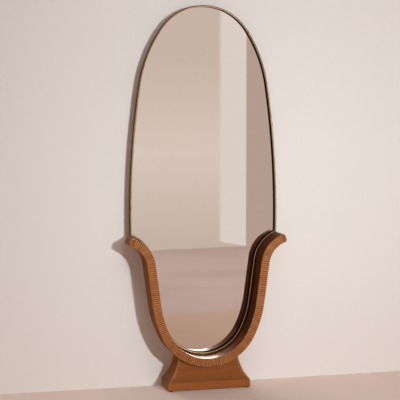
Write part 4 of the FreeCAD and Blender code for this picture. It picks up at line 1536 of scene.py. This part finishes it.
@dataclass
class Foot:
    """The waisted neck on its plinth board."""

    curves: Curves
    bottom: float = 42 * MM
    half_width: float = 210 * MM
    half_depth: float = 79 * MM
    half_waist: float = 152 * MM
    waist_half_depth: float = 55 * MM
    side_hollow: float = 222 * MM
    face_hollow: float = 340 * MM
    outer_radius: float = 41 * MM
    clearance: float = 0.2 * MM
    edge: float = 3 * MM
    shade: float = 0.34
    shade_height: float = 16 * MM
    rows: int = 40
    side_points: int = 24
    corner_points: int = 5
    settling: int = 12
    closing: tuple[float, ...] = (0.6, 0.2, 0.0)

    def saddle_height(self, x: Array | float) -> Array:
        """The saddle's height at x: the bow's centre less the root of radius squared less x squared."""
        radius = self.curves.bow_radius + self.outer_radius + self.clearance
        return self.curves.bow_centre[1] - np.sqrt(np.clip(radius**2 - np.square(x), 0, None))

    def hollow(self, z: Array, top: float, foot: float, radius: float) -> Array:
        """Half size at each height: an arc that bulges inwards between its top and its foot.

        The arc's centre lies outside, on the middle line of the chord.

        Args:
            z: The heights.
            top: Half size at the waist.
            foot: Half size at the bottom.
            radius: The arc's radius.

        Returns:
            One half size for each height.
        """
        upper = np.array([top, self.saddle_height(self.half_waist)])
        lower = np.array([foot, self.bottom])
        chord = lower - upper
        length = np.hypot(*chord)
        square = np.array([-chord[1], chord[0]]) / length
        centre = (upper + lower) / 2 + square * math.sqrt(radius**2 - (length / 2) ** 2)
        return centre[0] - np.sqrt(radius**2 - (z - centre[1]) ** 2)

    def plan(self) -> tuple[Array, Array]:
        """The plan's outline, side by side and corner by corner.

        Returns:
            Where each point's rounding is centred, as shares of the half sizes, and the way out
            from there.
        """
        share = np.linspace(-1, 1, self.side_points)[:, None]
        bend = np.linspace(0, QUARTER_TURN, self.corner_points)[1:-1]
        centres, ways = [], []
        for angle in QUARTER_TURN * np.arange(4):
            out, along = heading(angle), heading(angle + QUARTER_TURN)
            centres += [out + share * along, out + along + 0 * heading(angle + bend)]
            ways += [out + 0 * share, heading(angle + bend)]
        return np.concatenate(centres), np.concatenate(ways)

    def outline(self, z: Array) -> Array:
        """The plan at each point's own height.

        Args:
            z: The heights.

        Returns:
            The points' x and y.
        """
        across = self.hollow(z, self.half_waist, self.half_width, self.side_hollow)
        deep = self.hollow(z, self.waist_half_depth, self.half_depth, self.face_hollow)
        centres, ways = self.plan()
        return centres * (np.stack([across, deep], axis=-1) - self.edge) + ways * self.edge

    def build(self, finishes: Finishes) -> None:
        """Builds the neck as rows of rounded rectangles up to the saddle.

        Each column's top settles where its own width meets the saddle. Painted shade darkens the neck
        over the plinth: its share is the shade times e to the power of minus the height over the
        plinth, counted in shade heights.

        Args:
            finishes: The object's finishes.
        """
        centres, _ = self.plan()
        top = np.full(len(centres), self.saddle_height(self.half_waist))
        for _ in range(self.settling):
            top = self.saddle_height(self.outline(top)[:, 0])
        z = self.bottom + np.linspace(0, 1, self.rows)[:, None] * (top - self.bottom)
        grid = np.concatenate([self.outline(z), z[..., None]], axis=-1)
        inwards = np.array(self.closing)[:, None]
        saddle = np.repeat(grid[-1:], len(inwards), axis=0)
        saddle[..., 1] *= inwards
        base = np.repeat(grid[:1], len(inwards), axis=0)
        base[..., 1] *= inwards[::-1]
        grid = np.concatenate([base, grid, saddle])
        at_corner = np.where(np.abs(centres).min(axis=1) > 0.99, 1.0, 0.0)
        # Painted shade, strongest just over the plinth and fading upwards.
        shade = self.shade * np.exp((self.bottom - grid[..., 2]) / self.shade_height)
        surface = wrap(grid, {Mask.WEAR_AND_HIGHLIGHT: at_corner, Mask.STAIN_AND_SHADE: shade})
        add_piece("foot_neck", "hollowed", [surface], finishes.made["foot_wood"])
        finishes.dress("foot_plinth", "plinth_wood_painted_light")


def station(point: Array, inward: Array, flip: float = 1.0) -> Array:
    """A place on the frame's edge: its local X runs into the mirror, its local Z along the rail.

    Args:
        point: The place as x and z.
        inward: The direction into the mirror as x and z.
        flip: -1 for the same place on the left.

    Returns:
        A 4 by 4 matrix.
    """
    across, up = inward * np.array([flip, 1.0]) / np.hypot(*inward)
    matrix = np.eye(4)
    matrix[:3, :3] = np.array([[across, 0, -up], [0, 1, 0], [up, 0, across]])
    matrix[:3, 3] = point[0] * flip, 0, point[1]
    return matrix


def screw_place(point: Sequence[float], facing: Facing, spin: float = 0.0) -> Array:
    """The place of a screw, spun about its own axis and then turned to where its head looks.

    Args:
        point: Where it seats.
        facing: Where its head looks.
        spin: Its turn about its own axis in radians.

    Returns:
        A 4 by 4 matrix.
    """
    c, s = math.cos(spin), math.sin(spin)
    matrix = np.eye(4)
    matrix[:3, :3] = np.array(facing.value) @ np.array([[c, -s, 0], [s, c, 0], [0, 0, 1]])
    matrix[:3, 3] = point
    return matrix


def moved(points: Array, matrix: Array) -> Array:
    """Points turned and shifted by a 4 by 4 matrix."""
    return points @ matrix[:3, :3].T + matrix[:3, 3]


def plate(
    outline: Array, low: float, high: float, edge: float, edge_rows: int = 4
) -> tuple[Array, Array]:
    """A flat plate with eased edges, from a convex outline.

    Rows run from the middle of one face, over its edge and round to the middle of the other. An
    edge row lies in by edge times one minus the sine, and up by edge times one minus the cosine.

    Args:
        outline: The outline's points as x and z, shape columns, 2.
        low: The first face's y.
        high: The second face's y.
        edge: Radius of the eased edges.
        edge_rows: Rows on each eased edge.

    Returns:
        Points of shape rows, columns, 3, and their wear.
    """
    middle = outline.mean(axis=0)
    reach = np.linalg.norm(outline - middle, axis=1).mean()
    turn = np.linspace(0, QUARTER_TURN, edge_rows)
    inset, rise, rubbed = edge * (1 - np.sin(turn)), edge * (1 - np.cos(turn)), np.sin(2 * turn)
    draw = np.concatenate([[reach, reach / 2], inset, inset[::-1], [reach / 2, reach]])
    level = np.concatenate([[low, low], low + rise, high - rise[::-1], [high, high]])
    wear = np.concatenate([[0, 0], rubbed, rubbed[::-1], [0, 0]])
    flat = middle + (outline - middle) * (1 - draw / reach)[:, None, None]
    return lift(flat, level[:, None]), wear[:, None] * np.ones(len(outline))


@dataclass(frozen=True)
class Screw:
    """A turned screw whose head lies on +Z from its seat, with its drive recess.

    Widths and reaches of the recess are shares of the head's radius, its depths shares of the
    head's height. A slot's sloped wall is a share of its half width, its end one of its reach.
    """

    head_radius: float = 3.8 * MM
    head_height: float = 2.2 * MM
    shank_radius: float = 2 * MM
    length: float = 6 * MM
    drive: Drive = Drive.CROSS
    slot_half: float = 0.13
    slot_reach: float = 0.58
    slot_wall: float = 0.4
    slot_end: float = 0.3
    slot_depth: float = 0.55
    socket_half: float = 0.52
    socket_wall: float = 0.05
    socket_depth: float = 0.6
    face_share: float = 0.82
    dome: float = 0.04
    rim_drop: float = 0.3
    point_share: float = 0.7
    sides: int = 32
    cross_rows: int = 16
    socket_rows: int = 20

    def recess(self, x: Array, y: Array) -> Array:
        """How deep the recess is: a cross of two slots with sloped sides and ends, or a hexagon.

        Args:
            x: The points' x on the head.
            y: Their y.

        Returns:
            One share of the head's height for each point.
        """
        radius = self.head_radius
        if self.drive is Drive.CROSS:
            half, reach = self.slot_half * radius, self.slot_reach * radius
            slots = [
                np.clip((half - np.abs(a)) / (self.slot_wall * half) + 1, 0, 1)
                * np.clip((reach - np.abs(b)) / (self.slot_end * reach), 0, 1)
                for a, b in ((x, y), (y, x))
            ]
            return self.slot_depth * np.maximum(*slots)
        turn = np.arctan2(y, x) % (np.pi / 3) - np.pi / 6
        inside = self.socket_half * radius - np.hypot(x, y) * np.cos(turn)
        return self.socket_depth * np.clip(inside / (self.socket_wall * radius), 0, 1)

    def grid(self) -> Array:
        """The screw as rows from the head's middle, over its edge, down the shank to its point.

        Returns:
            Points of shape rows, columns, 3.
        """
        steps = self.cross_rows if self.drive is Drive.CROSS else self.socket_rows
        face = np.linspace(0, self.face_share, steps)
        ease = np.linspace(0, QUARTER_TURN, 5)[1:]
        rim = self.face_share + (1 - self.face_share) * np.sin(ease)
        shank, length = self.shank_radius, self.length
        radius = np.concatenate([face, rim, [1.0]]) * self.head_radius
        radius = np.concatenate([radius, [shank, shank, self.point_share * shank, 0.0]])
        rise = [self.dome * (1 - face**2), -self.rim_drop * (1 - np.cos(ease)), [-1.0]]
        z = np.concatenate(rise) * self.head_height + self.head_height
        z = np.concatenate([z, [0.0, shank - length, -length, -length]])[:, None]
        angle = round_angles(self.sides)
        x, y = radius[:, None] * np.cos(angle), radius[:, None] * np.sin(angle)
        on_face = (np.arange(len(radius)) < steps)[:, None]
        return np.stack([x, y, z - self.recess(x, y) * on_face * self.head_height], axis=-1)

    def copies(self, places: Sequence[Array]) -> list[Surface]:
        """One surface for each place, a 4 by 4 matrix."""
        return [wrap(moved(self.grid(), place)) for place in places]


@dataclass
class Fixings:
    """Straps, screws and bolts that hold the frame, the cradle and the foot together.

    The spins are the turns in radians, from one screw to the next, at which their recesses came
    to rest.
    """

    curves: Curves
    back: float = 57 * MM
    strap: float = 2 * MM
    strap_width: float = 20 * MM
    strap_reach: float = 34 * MM
    strap_round: float = 7 * MM
    strap_edge: float = 0.4 * MM
    flange: float = 18 * MM
    margin: float = 9 * MM
    key_length: float = 50 * MM
    key_share: float = 0.65
    bolt_x: float = 70 * MM
    bolt_y: float = 28 * MM
    bolt_seat: float = 20.4 * MM
    glide_x: float = 194 * MM
    glide_y: float = 63 * MM
    glide_seat: float = 2.6 * MM
    wood_screw: Screw = Screw(shank_radius=1.75 * MM, length=20 * MM)
    machine_screw: Screw = Screw()
    corner_screw: Screw = Screw(length=4 * MM)
    glide_screw: Screw = Screw(shank_radius=1.75 * MM, length=14 * MM)
    foot_bolt: Screw = Screw(6.5 * MM, 8 * MM, 4 * MM, 125.1 * MM, Drive.SOCKET)
    strap_spin: float = 0.7
    wood_spin: float = 1.3
    machine_spin: float = 0.9
    first_machine_spin: float = 0.4
    corner_spin: float = 0.5
    glide_spin: tuple[float, float] = (0.3, 0.8)

    def strap_places(self) -> dict[str, Array]:
        """Each strap's node and its place on the tulip rail's outer edge.

        Returns:
            A 4 by 4 matrix for each node.
        """
        curves, gap = self.curves, self.curves.shadow_gap
        edge, lean = curves.flank_radius - gap, curves.lean
        upper = polar(curves.flank_centre, edge, lean)
        upper_in = curves.flank_centre - upper
        upper = upper + curves.straight / 2
        lower = polar(curves.flank_centre, edge, (curves.bow_end + lean) / 2)
        lower_in = curves.flank_centre - lower
        bow = polar(curves.bow_centre, curves.bow_radius - gap, 0.0)
        return {
            "strap_left_upper": station(upper, upper_in, -1.0),
            "strap_right_upper": station(upper, upper_in),
            "strap_left_lower": station(lower, lower_in, -1.0),
            "strap_right_lower": station(lower, lower_in),
            "strap_bow": station(bow, np.array([0.0, 1.0])),
        }

    def corner_places(self) -> list[Array]:
        """Screw places of the corner keys on the back flange.

        Returns:
            Points on the side rails, right and left, and then on the curls.
        """
        curves, inset = self.curves, self.flange / 2
        along = self.key_share * self.key_length
        corner = curves.corner(np.array([0.0]))[0]
        centres, radii = curves.arch_circles()
        rise = corner[1] + along - centres[0][1]
        side = centres[0] + np.array([math.sqrt(radii[0] ** 2 - rise**2), rise])
        side = side + (centres[0] - side) / radii[0] * inset
        spoke = corner - curves.curl_centre
        angle = math.atan2(-spoke[0], spoke[1]) + along / curves.curl_radius
        curl = polar(curves.curl_centre, -curves.curl_radius - curves.shadow_gap - inset, angle)
        return [np.array([flip * p[0], self.back, p[1]]) for p in (side, curl) for flip in (1, -1)]

    def build_straps(self, zinc: Material) -> tuple[list[Array], list[Array]]:
        """Builds the straps.

        Args:
            zinc: Their finish.

        Returns:
            The places of the screws that hold them to the wood, and of those to the rail.
        """
        gap, half = self.curves.shadow_gap, self.strap_width / 2
        low, high, seat = -gap - self.strap_reach, self.flange, self.back + self.strap
        corners = [(low, -half), (high, -half), (high, half), (low, half)]
        outline, _ = rounded(corners, [self.strap_round] * 4, 7)
        flat, wear = plate(outline, self.back, seat, self.strap_edge)
        wood, metal = [], []
        for number, (node, place) in enumerate(self.strap_places().items()):
            strap = wrap(moved(flat, place), {Mask.WEAR_AND_HIGHLIGHT: wear})
            add_piece(node, "plate", [strap], zinc)
            for step, x in enumerate((-gap - self.margin, low + self.margin)):
                spin = self.strap_spin * number + self.wood_spin * step
                wood.append(screw_place(moved(np.array([x, seat, 0.0]), place), Facing.WALL, spin))
            spin = self.first_machine_spin + self.machine_spin * number
            spot = moved(np.array([self.flange / 2, seat, 0.0]), place)
            metal.append(screw_place(spot, Facing.WALL, spin))
        return wood, metal

    def build(self, finishes: Finishes) -> None:
        """Builds the straps and every visible screw head.

        Args:
            finishes: The object's finishes.
        """
        zinc = finishes.made["zinc_plate"]
        wood, metal = self.build_straps(zinc)
        corners = [
            screw_place(spot, Facing.WALL, self.corner_spin * number)
            for number, spot in enumerate(self.corner_places())
        ]
        bolts, glides = [], []
        for x, y in ((-1, -1), (-1, 1), (1, -1), (1, 1)):
            seat = (x * self.bolt_x, y * self.bolt_y, self.bolt_seat)
            bolts.append(screw_place(seat, Facing.FLOOR))
            seat = (x * self.glide_x, y * self.glide_y, self.glide_seat)
            spin = self.glide_spin[0] * x + self.glide_spin[1] * y
            glides.append(screw_place(seat, Facing.FLOOR, spin))
        sets = {
            "strap_wood_screws": self.wood_screw.copies(wood),
            "strap_machine_screws": self.machine_screw.copies(metal),
            "corner_screws": self.corner_screw.copies(corners),
            "foot_bolts": self.foot_bolt.copies(bolts),
            "glide_screws": self.glide_screw.copies(glides),
        }
        for node, surfaces in sets.items():
            add_piece(node, "turned", surfaces, zinc)


@dataclass
class WallTies:
    """The two hanger plates at the back, each with a wire ring that swings in its rolled eye.

    A screw's spin in radians is its side, -1 or 1, plus its drop in metres times the screw spin.
    """

    back: float = 57 * MM
    width: float = 12 * MM
    length: float = 46 * MM
    thickness: float = 1.4 * MM
    top_round: float = 5 * MM
    eye_round: float = 0.3 * MM
    plate_edge: float = 0.3 * MM
    barrel: float = 2.8 * MM
    barrel_length: float = 10 * MM
    barrel_edge: float = 0.3 * MM
    play: float = 0.06 * MM
    ring: float = 8 * MM
    ring_turn: float = 78.0
    bar_inset: float = 1.7 * MM
    wire: float = 1.2 * MM
    wire_sides: int = 16
    barrel_sides: int = 32
    bow_points: int = 41
    bend_points: int = 9
    bar_points: int = 9
    screw_drops: tuple[float, float] = (9 * MM, 29 * MM)
    screw_spin: float = 40.0

    def eye(self) -> Array:
        """The rolled eye as a tube along X: rows go out along it and back through its bore.

        Returns:
            Points round the eye's own centre, shape rows, columns, 3.
        """
        half, outer, inner = self.barrel_length / 2, self.barrel, self.wire + self.play
        ease = self.barrel_edge
        x = np.array([-half, ease - half, half - ease, half, half, -half, -half])
        radius = np.array([outer - ease, outer, outer, outer - ease, inner, inner, outer - ease])
        angle = round_angles(self.barrel_sides)
        y, z = radius[:, None] * np.cos(angle), radius[:, None] * np.sin(angle)
        return np.stack([np.broadcast_to(x[:, None], y.shape), y, z], axis=-1)

    def ring_path(self) -> Array:
        """The ring's centre line: a round bow under a straight bar, with its two bends eased.

        A bend is a curve with one control point: (1 - t) squared of its start, 2 t (1 - t) of
        the corner and t squared of its end.

        Returns:
            Points as x and z.
        """
        radius, turn = self.ring, math.radians(self.ring_turn)
        bow = polar(np.zeros(2), radius, np.linspace(-turn, turn, self.bow_points))
        t = np.linspace(0, 1, self.bend_points)[1:-1, None]
        corner, bar_end = np.array([radius, 0.0]), np.array([radius - self.bar_inset, 0.0])
        bend = (1 - t) ** 2 * bow[-1] + 2 * t * (1 - t) * corner + t**2 * bar_end
        bar = bar_end * np.linspace(1, -1, self.bar_points)[:, None]
        return np.concatenate([bow, bend, bar, mirrored(bend)])

    def ring_grid(self) -> Array:
        """A round wire along the ring's path, its section turned square to the path.

        Returns:
            Points round the eye's own centre, shape rows, columns, 3.
        """
        path = self.ring_path()
        along = np.roll(path, -1, axis=0) - np.roll(path, 1, axis=0)
        along /= np.linalg.norm(along, axis=1, keepdims=True)
        side = np.stack([-along[:, 1], along[:, 0]], axis=1)
        angle = round_angles(self.wire_sides)
        flat = path[:, None] + side[:, None] * (self.wire * np.cos(angle))[:, None]
        grid = lift(flat, self.wire * np.sin(angle))
        return np.concatenate([grid, grid[:1]])

    def build(self, finishes: Finishes) -> None:
        """Builds both ties and their screws, where their CAD nodes are.

        Args:
            finishes: The object's finishes.
        """
        brass = finishes.made["fitting_brass"]
        low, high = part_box("hanger_plate_right")
        middle_x, top, half = (low.x + high.x) / 2, high.z, self.width / 2
        foot, seat = top - self.length, self.back + self.thickness
        radii = [self.eye_round, self.eye_round, self.top_round, self.top_round]
        corners = [(-half, foot), (half, foot), (half, top), (-half, top)]
        flat, wear = plate(rounded(corners, radii, 7)[0], self.back, seat, self.plate_edge)
        screws = []
        bodies = {"left": (-1.0, Body.RING_LEFT), "right": (1.0, Body.RING_RIGHT)}
        for side, (flip, body) in bodies.items():
            middle = np.array([flip * middle_x, 0.0, 0.0])
            eye_centre = middle + np.array([0.0, self.back + self.barrel, foot])
            strap = wrap(flat + middle, {Mask.WEAR_AND_HIGHLIGHT: wear})
            rolled = [strap, wrap(self.eye() + eye_centre)]
            add_piece(f"hanger_plate_{side}", "rolled", rolled, brass)
            wire = wrap(self.ring_grid() + eye_centre)
            add_piece(f"hanger_ring_{side}", "wire", [wire], brass, body)
            for drop in self.screw_drops:
                spot, spin = (middle[0], seat, top - drop), flip + self.screw_spin * drop
                screws.append(screw_place(spot, Facing.WALL, spin))
        heads = Screw().copies(screws)
        add_piece("hanger_screws", "turned", heads, finishes.made["zinc_plate"])


DAYLIGHT = linear(255, 249, 242)
WARM = (1.0, 0.985, 0.965)
COOL = (0.985, 0.99, 1.0)


def second_reflection(nodes: Nodes) -> Socket:
    """1 for light that two shiny surfaces have sent on, one after the other."""
    return nodes.math("GREATER_THAN", nodes.add("LightPath").outputs["Glossy Depth"], 1.5)


def cloudy(nodes: Nodes, vector: Socket, tone: Colour, cloud: Colour) -> tuple[Socket, Socket]:
    """Faint clouds, and a tone that they tint."""
    clouds = nodes.noise(vector, 1.4, 4.0)
    return clouds, nodes.mix(clouds, tone, cloud)


@dataclass(frozen=True)
class FloorTone:
    """A pale matt floor with faint clouds.

    Its middle, far and farthest colours show only in the glass. The far one's edge slants with x.
    A patch of daylight at the front right shows only in second reflections.
    """

    tone: Colour = linear(226, 209, 199)
    cloud: Colour = linear(212, 193, 182)
    middle: Colour = linear(212, 183, 165)
    middle_y: Range = (-0.4, -0.8)
    far: Colour = linear(208, 187, 180)
    far_y: Range = (-1.83, -1.91)
    far_slant: float = 0.2
    farthest: Colour = linear(245, 226, 220)
    farthest_y: Range = (-3.0, -3.9)
    far_cloud: Colour = linear(184, 158, 144)
    far_cloud_share: float = 0.2
    daylight_x: Range = (0.2, 0.7)
    daylight_y: Range = (-0.8, -1.6)
    daylight_strength: float = 4.0

    def build(self) -> Material:
        """Builds the material.

        Returns:
            The material.
        """
        material, nodes = blank_material("floor_tone")
        vector = nodes.add("TexCoord").outputs["Object"]
        clouds, color = cloudy(nodes, vector, self.tone, self.cloud)
        x, y, _ = nodes.axes(vector)
        slanted = nodes.weigh(x, self.far_slant, y)
        shown = nodes.mix(nodes.span(y, self.middle_y), color, self.middle)
        shown = nodes.mix(nodes.span(slanted, self.far_y), shown, self.far)
        shown = nodes.mix(nodes.span(y, self.farthest_y), shown, self.farthest)
        patches = nodes.span(clouds, (0.45, 0.75), (0.0, self.far_cloud_share))
        shown = nodes.mix(patches, shown, self.far_cloud)
        color = nodes.mix(nodes.add("LightPath").outputs["Is Glossy Ray"], color, shown)
        matt = nodes.add("BsdfDiffuse", {"Color": color}).outputs[0]
        lit = nodes.times(nodes.span(y, self.daylight_y), nodes.span(x, self.daylight_x))
        lit = nodes.times(second_reflection(nodes), lit)
        glow = nodes.add("Emission", {"Color": DAYLIGHT, "Strength": self.daylight_strength})
        shader = nodes.add("MixShader", {0: lit, 1: matt, 2: glow.outputs[0]})
        nodes.add("OutputMaterial", {0: shader.outputs[0]})
        return material


@dataclass(frozen=True)
class WallTone:
    """A pale matt wall with faint clouds, clear from behind."""

    tone: Colour = linear(237, 234, 230)
    cloud: Colour = linear(233, 229, 225)

    def build(self) -> Material:
        """Builds the material.

        Returns:
            The material.
        """
        material, nodes = blank_material("wall_tone")
        vector = nodes.add("TexCoord").outputs["Object"]
        color = cloudy(nodes, vector, self.tone, self.cloud)[1]
        matt = nodes.add("BsdfDiffuse", {"Color": color}).outputs[0]
        behind = nodes.add("NewGeometry").outputs["Backfacing"]
        clear = nodes.add("BsdfTransparent").outputs[0]
        shader = nodes.add("MixShader", {0: behind, 1: matt, 2: clear})
        nodes.add("OutputMaterial", {0: shader.outputs[0]})
        return material


@dataclass(frozen=True)
class FarRoom:
    """The far side of the room, as the glass shows it.

    A pale wall whose tone changes with height has a paler jamb and a shade beside it. Bands are
    given by the four x at which they start, are full, begin to end and have ended. A bright pane
    shows only in second reflections.
    """

    ramp_height: float = 3.0
    ramp: tuple[tuple[float, Colour], ...] = (
        (0.0, linear(203, 186, 173)),
        (0.3, linear(225, 208, 197)),
        (0.6, linear(208, 189, 177)),
        (0.765, linear(207, 189, 178)),
        (0.83, linear(112, 88, 66)),
        (1.0, linear(84, 62, 44)),
    )
    jamb: Colour = linear(229, 217, 209)
    jamb_x: tuple[float, float, float, float] = (1.54, 1.58, 1.82, 1.83)
    jamb_foot: Range = (0.36, 0.37)
    jamb_slant: float = 0.2
    shade: Colour = linear(188, 165, 153)
    shade_x: tuple[float, float, float, float] = (1.82, 1.83, 2.2, 2.6)
    dim: Colour = linear(104, 84, 70)
    dim_x: Range = (0.5, -0.6)
    day: float = 0.15
    day_x: Range = (3.0, 4.5)
    pane_x: tuple[float, float, float, float] = (0.7, 1.0, 3.2, 3.6)
    pane_top: Range = (2.2, 1.8)
    pane_strength: float = 4.5

    def build(self) -> Material:
        """Builds the material.

        Returns:
            The material.
        """
        material, nodes = blank_material("far_room")
        x, _, z = nodes.axes(nodes.add("TexCoord").outputs["Object"])
        rise = nodes.add("ValToRGB", {0: nodes.math("DIVIDE", z, self.ramp_height)})
        stops = rise.color_ramp.elements
        while len(stops) < len(self.ramp):
            stops.new(0.5)
        for stop, (place, tone) in zip(stops, self.ramp):
            stop.position, stop.color = place, tone
        foot = nodes.span(nodes.weigh(x, self.jamb_slant, z), self.jamb_foot)
        jamb = nodes.times(nodes.band(x, self.jamb_x), foot)
        color = nodes.mix(jamb, rise.outputs[0], self.jamb)
        color = nodes.mix(nodes.band(x, self.shade_x), color, self.shade)
        color = nodes.mix(nodes.span(x, self.dim_x), color, self.dim)
        pane = nodes.times(nodes.band(x, self.pane_x), nodes.span(z, self.pane_top))
        pane = nodes.times(second_reflection(nodes), pane)
        day = nodes.weigh(nodes.span(x, self.day_x), self.day, 1.0)
        day = nodes.weigh(pane, self.pane_strength, day)
        glow = nodes.add("Emission", {"Color": nodes.mix(pane, color, DAYLIGHT), "Strength": day})
        nodes.add("OutputMaterial", {0: glow.outputs[0]})
        return material


@dataclass(frozen=True)
class Lamp:
    """A soft rectangular lamp that looks at its aim.

    Its power is in watts and its spread in degrees. Shiny surfaces show it only if reflected.
    """

    name: str
    place: Place
    aim: Place
    size: tuple[float, float]
    power: float
    tone: Place = WARM
    spread: float = 180.0
    reflected: bool = False

    def build(self) -> None:
        """Builds the lamp. It leans back from straight down by the angle to its aim."""
        light = bpy.data.lights.new(self.name, "AREA")
        light.shape = "RECTANGLE"
        light.size, light.size_y = self.size
        light.energy, light.color = self.power, self.tone
        light.spread = math.radians(self.spread)
        lamp = show(self.name, light)
        lamp.location = self.place
        x, y, z = np.array(self.aim) - np.array(self.place)
        lamp.rotation_euler = (math.atan2(math.hypot(x, y), -z), 0, math.atan2(-x, y))
        lamp.visible_glossy = self.reflected


LAMPS = (
    Lamp(
        "key", (1.85, -5.66, 1.95), (0.1, 0, 0.92), (0.3, 0.3), 25.2, tone=(0.955, 1.0, 1.03),
        spread=64.0,
    ),
    Lamp(
        "fill", (-2.5, -4.6, 1.3), (-1.0, 0, 0.3), (2.0, 1.6), 6, tone=(1.0, 0.88, 0.78),
        reflected=True,
    ),
    Lamp("top", (0.8, -1.4, 4.2), (0, 0, 0.5), (3.0, 2.0), 14),
    Lamp("room", (1.0, -4.3, 4.0), (1.0, -4.2, 0), (3.0, 1.6), 62),
    Lamp("behind", (-0.6, 5.0, 2.8), (0, 0, 0.9), (3.0, 3.0), 120, tone=COOL, reflected=True),
)


@dataclass(frozen=True)
class Studio:
    """Floor, wall, lamps and the camera, at the photograph's viewing angle. Angles in degrees."""

    wall_y: float = 79.5 * MM
    wall_height: float = 7.0
    room_y: float = -5.145
    room_turn: float = -0.12
    room_height: float = 6.0
    reach: float = 14.0
    air: Colour = linear(250, 199, 172)
    air_strength: float = 0.195
    horizon: Colour = linear(228, 218, 209)
    eye: Place = (-1.598, -6.097, 1.490)
    eye_tilt: float = 4.99
    eye_turn: float = 14.43
    lens: float = 114.66
    sensor: float = 36.0

    def sheet(
        self, name: str, corners: Sequence[Place], material: Material
    ) -> bpy.types.Object:
        """One flat face of the surroundings.

        Args:
            name: Its name.
            corners: Its four corners.
            material: Its finish.

        Returns:
            Its object.
        """
        mesh = bpy.data.meshes.new(name)
        mesh.from_pydata(corners, [], [(0, 1, 2, 3)])
        mesh.materials.append(material)
        piece = show(name, mesh)
        return piece

    def surroundings(self) -> None:
        """The floor, the wall behind, and the far room that only reflections see."""
        reach, slope = self.reach, self.room_turn * self.reach
        left, right = self.room_y - slope, self.room_y + slope
        floor = [(-reach, right, 0), (reach, right, 0), (reach, reach, 0), (-reach, reach, 0)]
        self.sheet("floor", floor, FloorTone().build())
        y, top = self.wall_y, self.wall_height
        wall = [(-reach, y, 0), (reach, y, 0), (reach, y, top), (-reach, y, top)]
        self.sheet("wall", wall, WallTone().build()).visible_shadow = False
        top = self.room_height
        room = [(-reach, left, 0), (-reach, left, top), (reach, right, top), (reach, right, 0)]
        far_room = self.sheet("far_room", room, FarRoom().build())
        for kind in ("camera", "diffuse", "shadow", "transmission"):
            setattr(far_room, f"visible_{kind}", False)

    def world(self) -> None:
        """A soft even light, with a pale tone where the camera looks past the wall."""
        world = bpy.data.worlds.new("room_air")
        bpy.context.scene.world = world
        world.use_nodes = True
        world.node_tree.nodes.clear()
        nodes = Nodes(world.node_tree)
        seen = nodes.add("LightPath").outputs["Is Camera Ray"]
        air = nodes.add("Background", {"Color": self.air, "Strength": self.air_strength})
        shown = nodes.add("Background", {"Color": self.horizon, "Strength": 1.0})
        mixed = nodes.add("MixShader", {0: seen, 1: air.outputs[0], 2: shown.outputs[0]})
        nodes.add("OutputWorld", {0: mixed.outputs[0]})

    def camera(self) -> None:
        """The camera, solved from the photograph."""
        data = bpy.data.cameras.new("view")
        data.sensor_width, data.lens = self.sensor, self.lens
        eye = show("view", data)
        eye.location = self.eye
        eye.rotation_euler = (math.radians(90 - self.eye_tilt), 0, math.radians(-self.eye_turn))
        bpy.context.scene.camera = eye

    def build(self) -> None:
        """Builds the surroundings, the lamps, the world and the camera."""
        self.surroundings()
        for lamp in LAMPS:
            lamp.build()
        self.world()
        self.camera()
        bpy.context.scene.view_settings.view_transform = "Standard"


CAD_FINISHES = {
    "silvered_glass": ("mirror_glass",),
    "pressed_board": ("backing_board",),
    "black_rubber": ("glazing_strip", "frame_seats"),
    "grey_foam": ("foam_pads",),
    "spring_steel": ("spring_clips",),
    "zinc_plate": ("corner_key_left", "corner_key_right", "channel_nuts", "bolt_washers"),
    "fitting_brass": ("threaded_inserts",),
    "dowel_beech": ("arm_dowels",),
    "glide_plastic": ("glide_front_left", "glide_front_right", "glide_rear_left", "glide_rear_right"),
}


def main() -> None:
    """Builds the looks in order."""
    logging.basicConfig(level=logging.INFO, format="%(name)s: %(message)s")
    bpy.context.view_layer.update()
    curves = Curves()
    finishes = Finishes().build()
    for name, nodes in CAD_FINISHES.items():
        for node in nodes:
            finishes.dress(node, name)
    BrassFrame(curves).build(finishes)
    Cradle(curves).build(finishes)
    Foot(curves).build(finishes)
    Fixings(curves).build(finishes)
    WallTies().build(finishes)
    Studio().build()


if __name__ == "__main__":
    main()
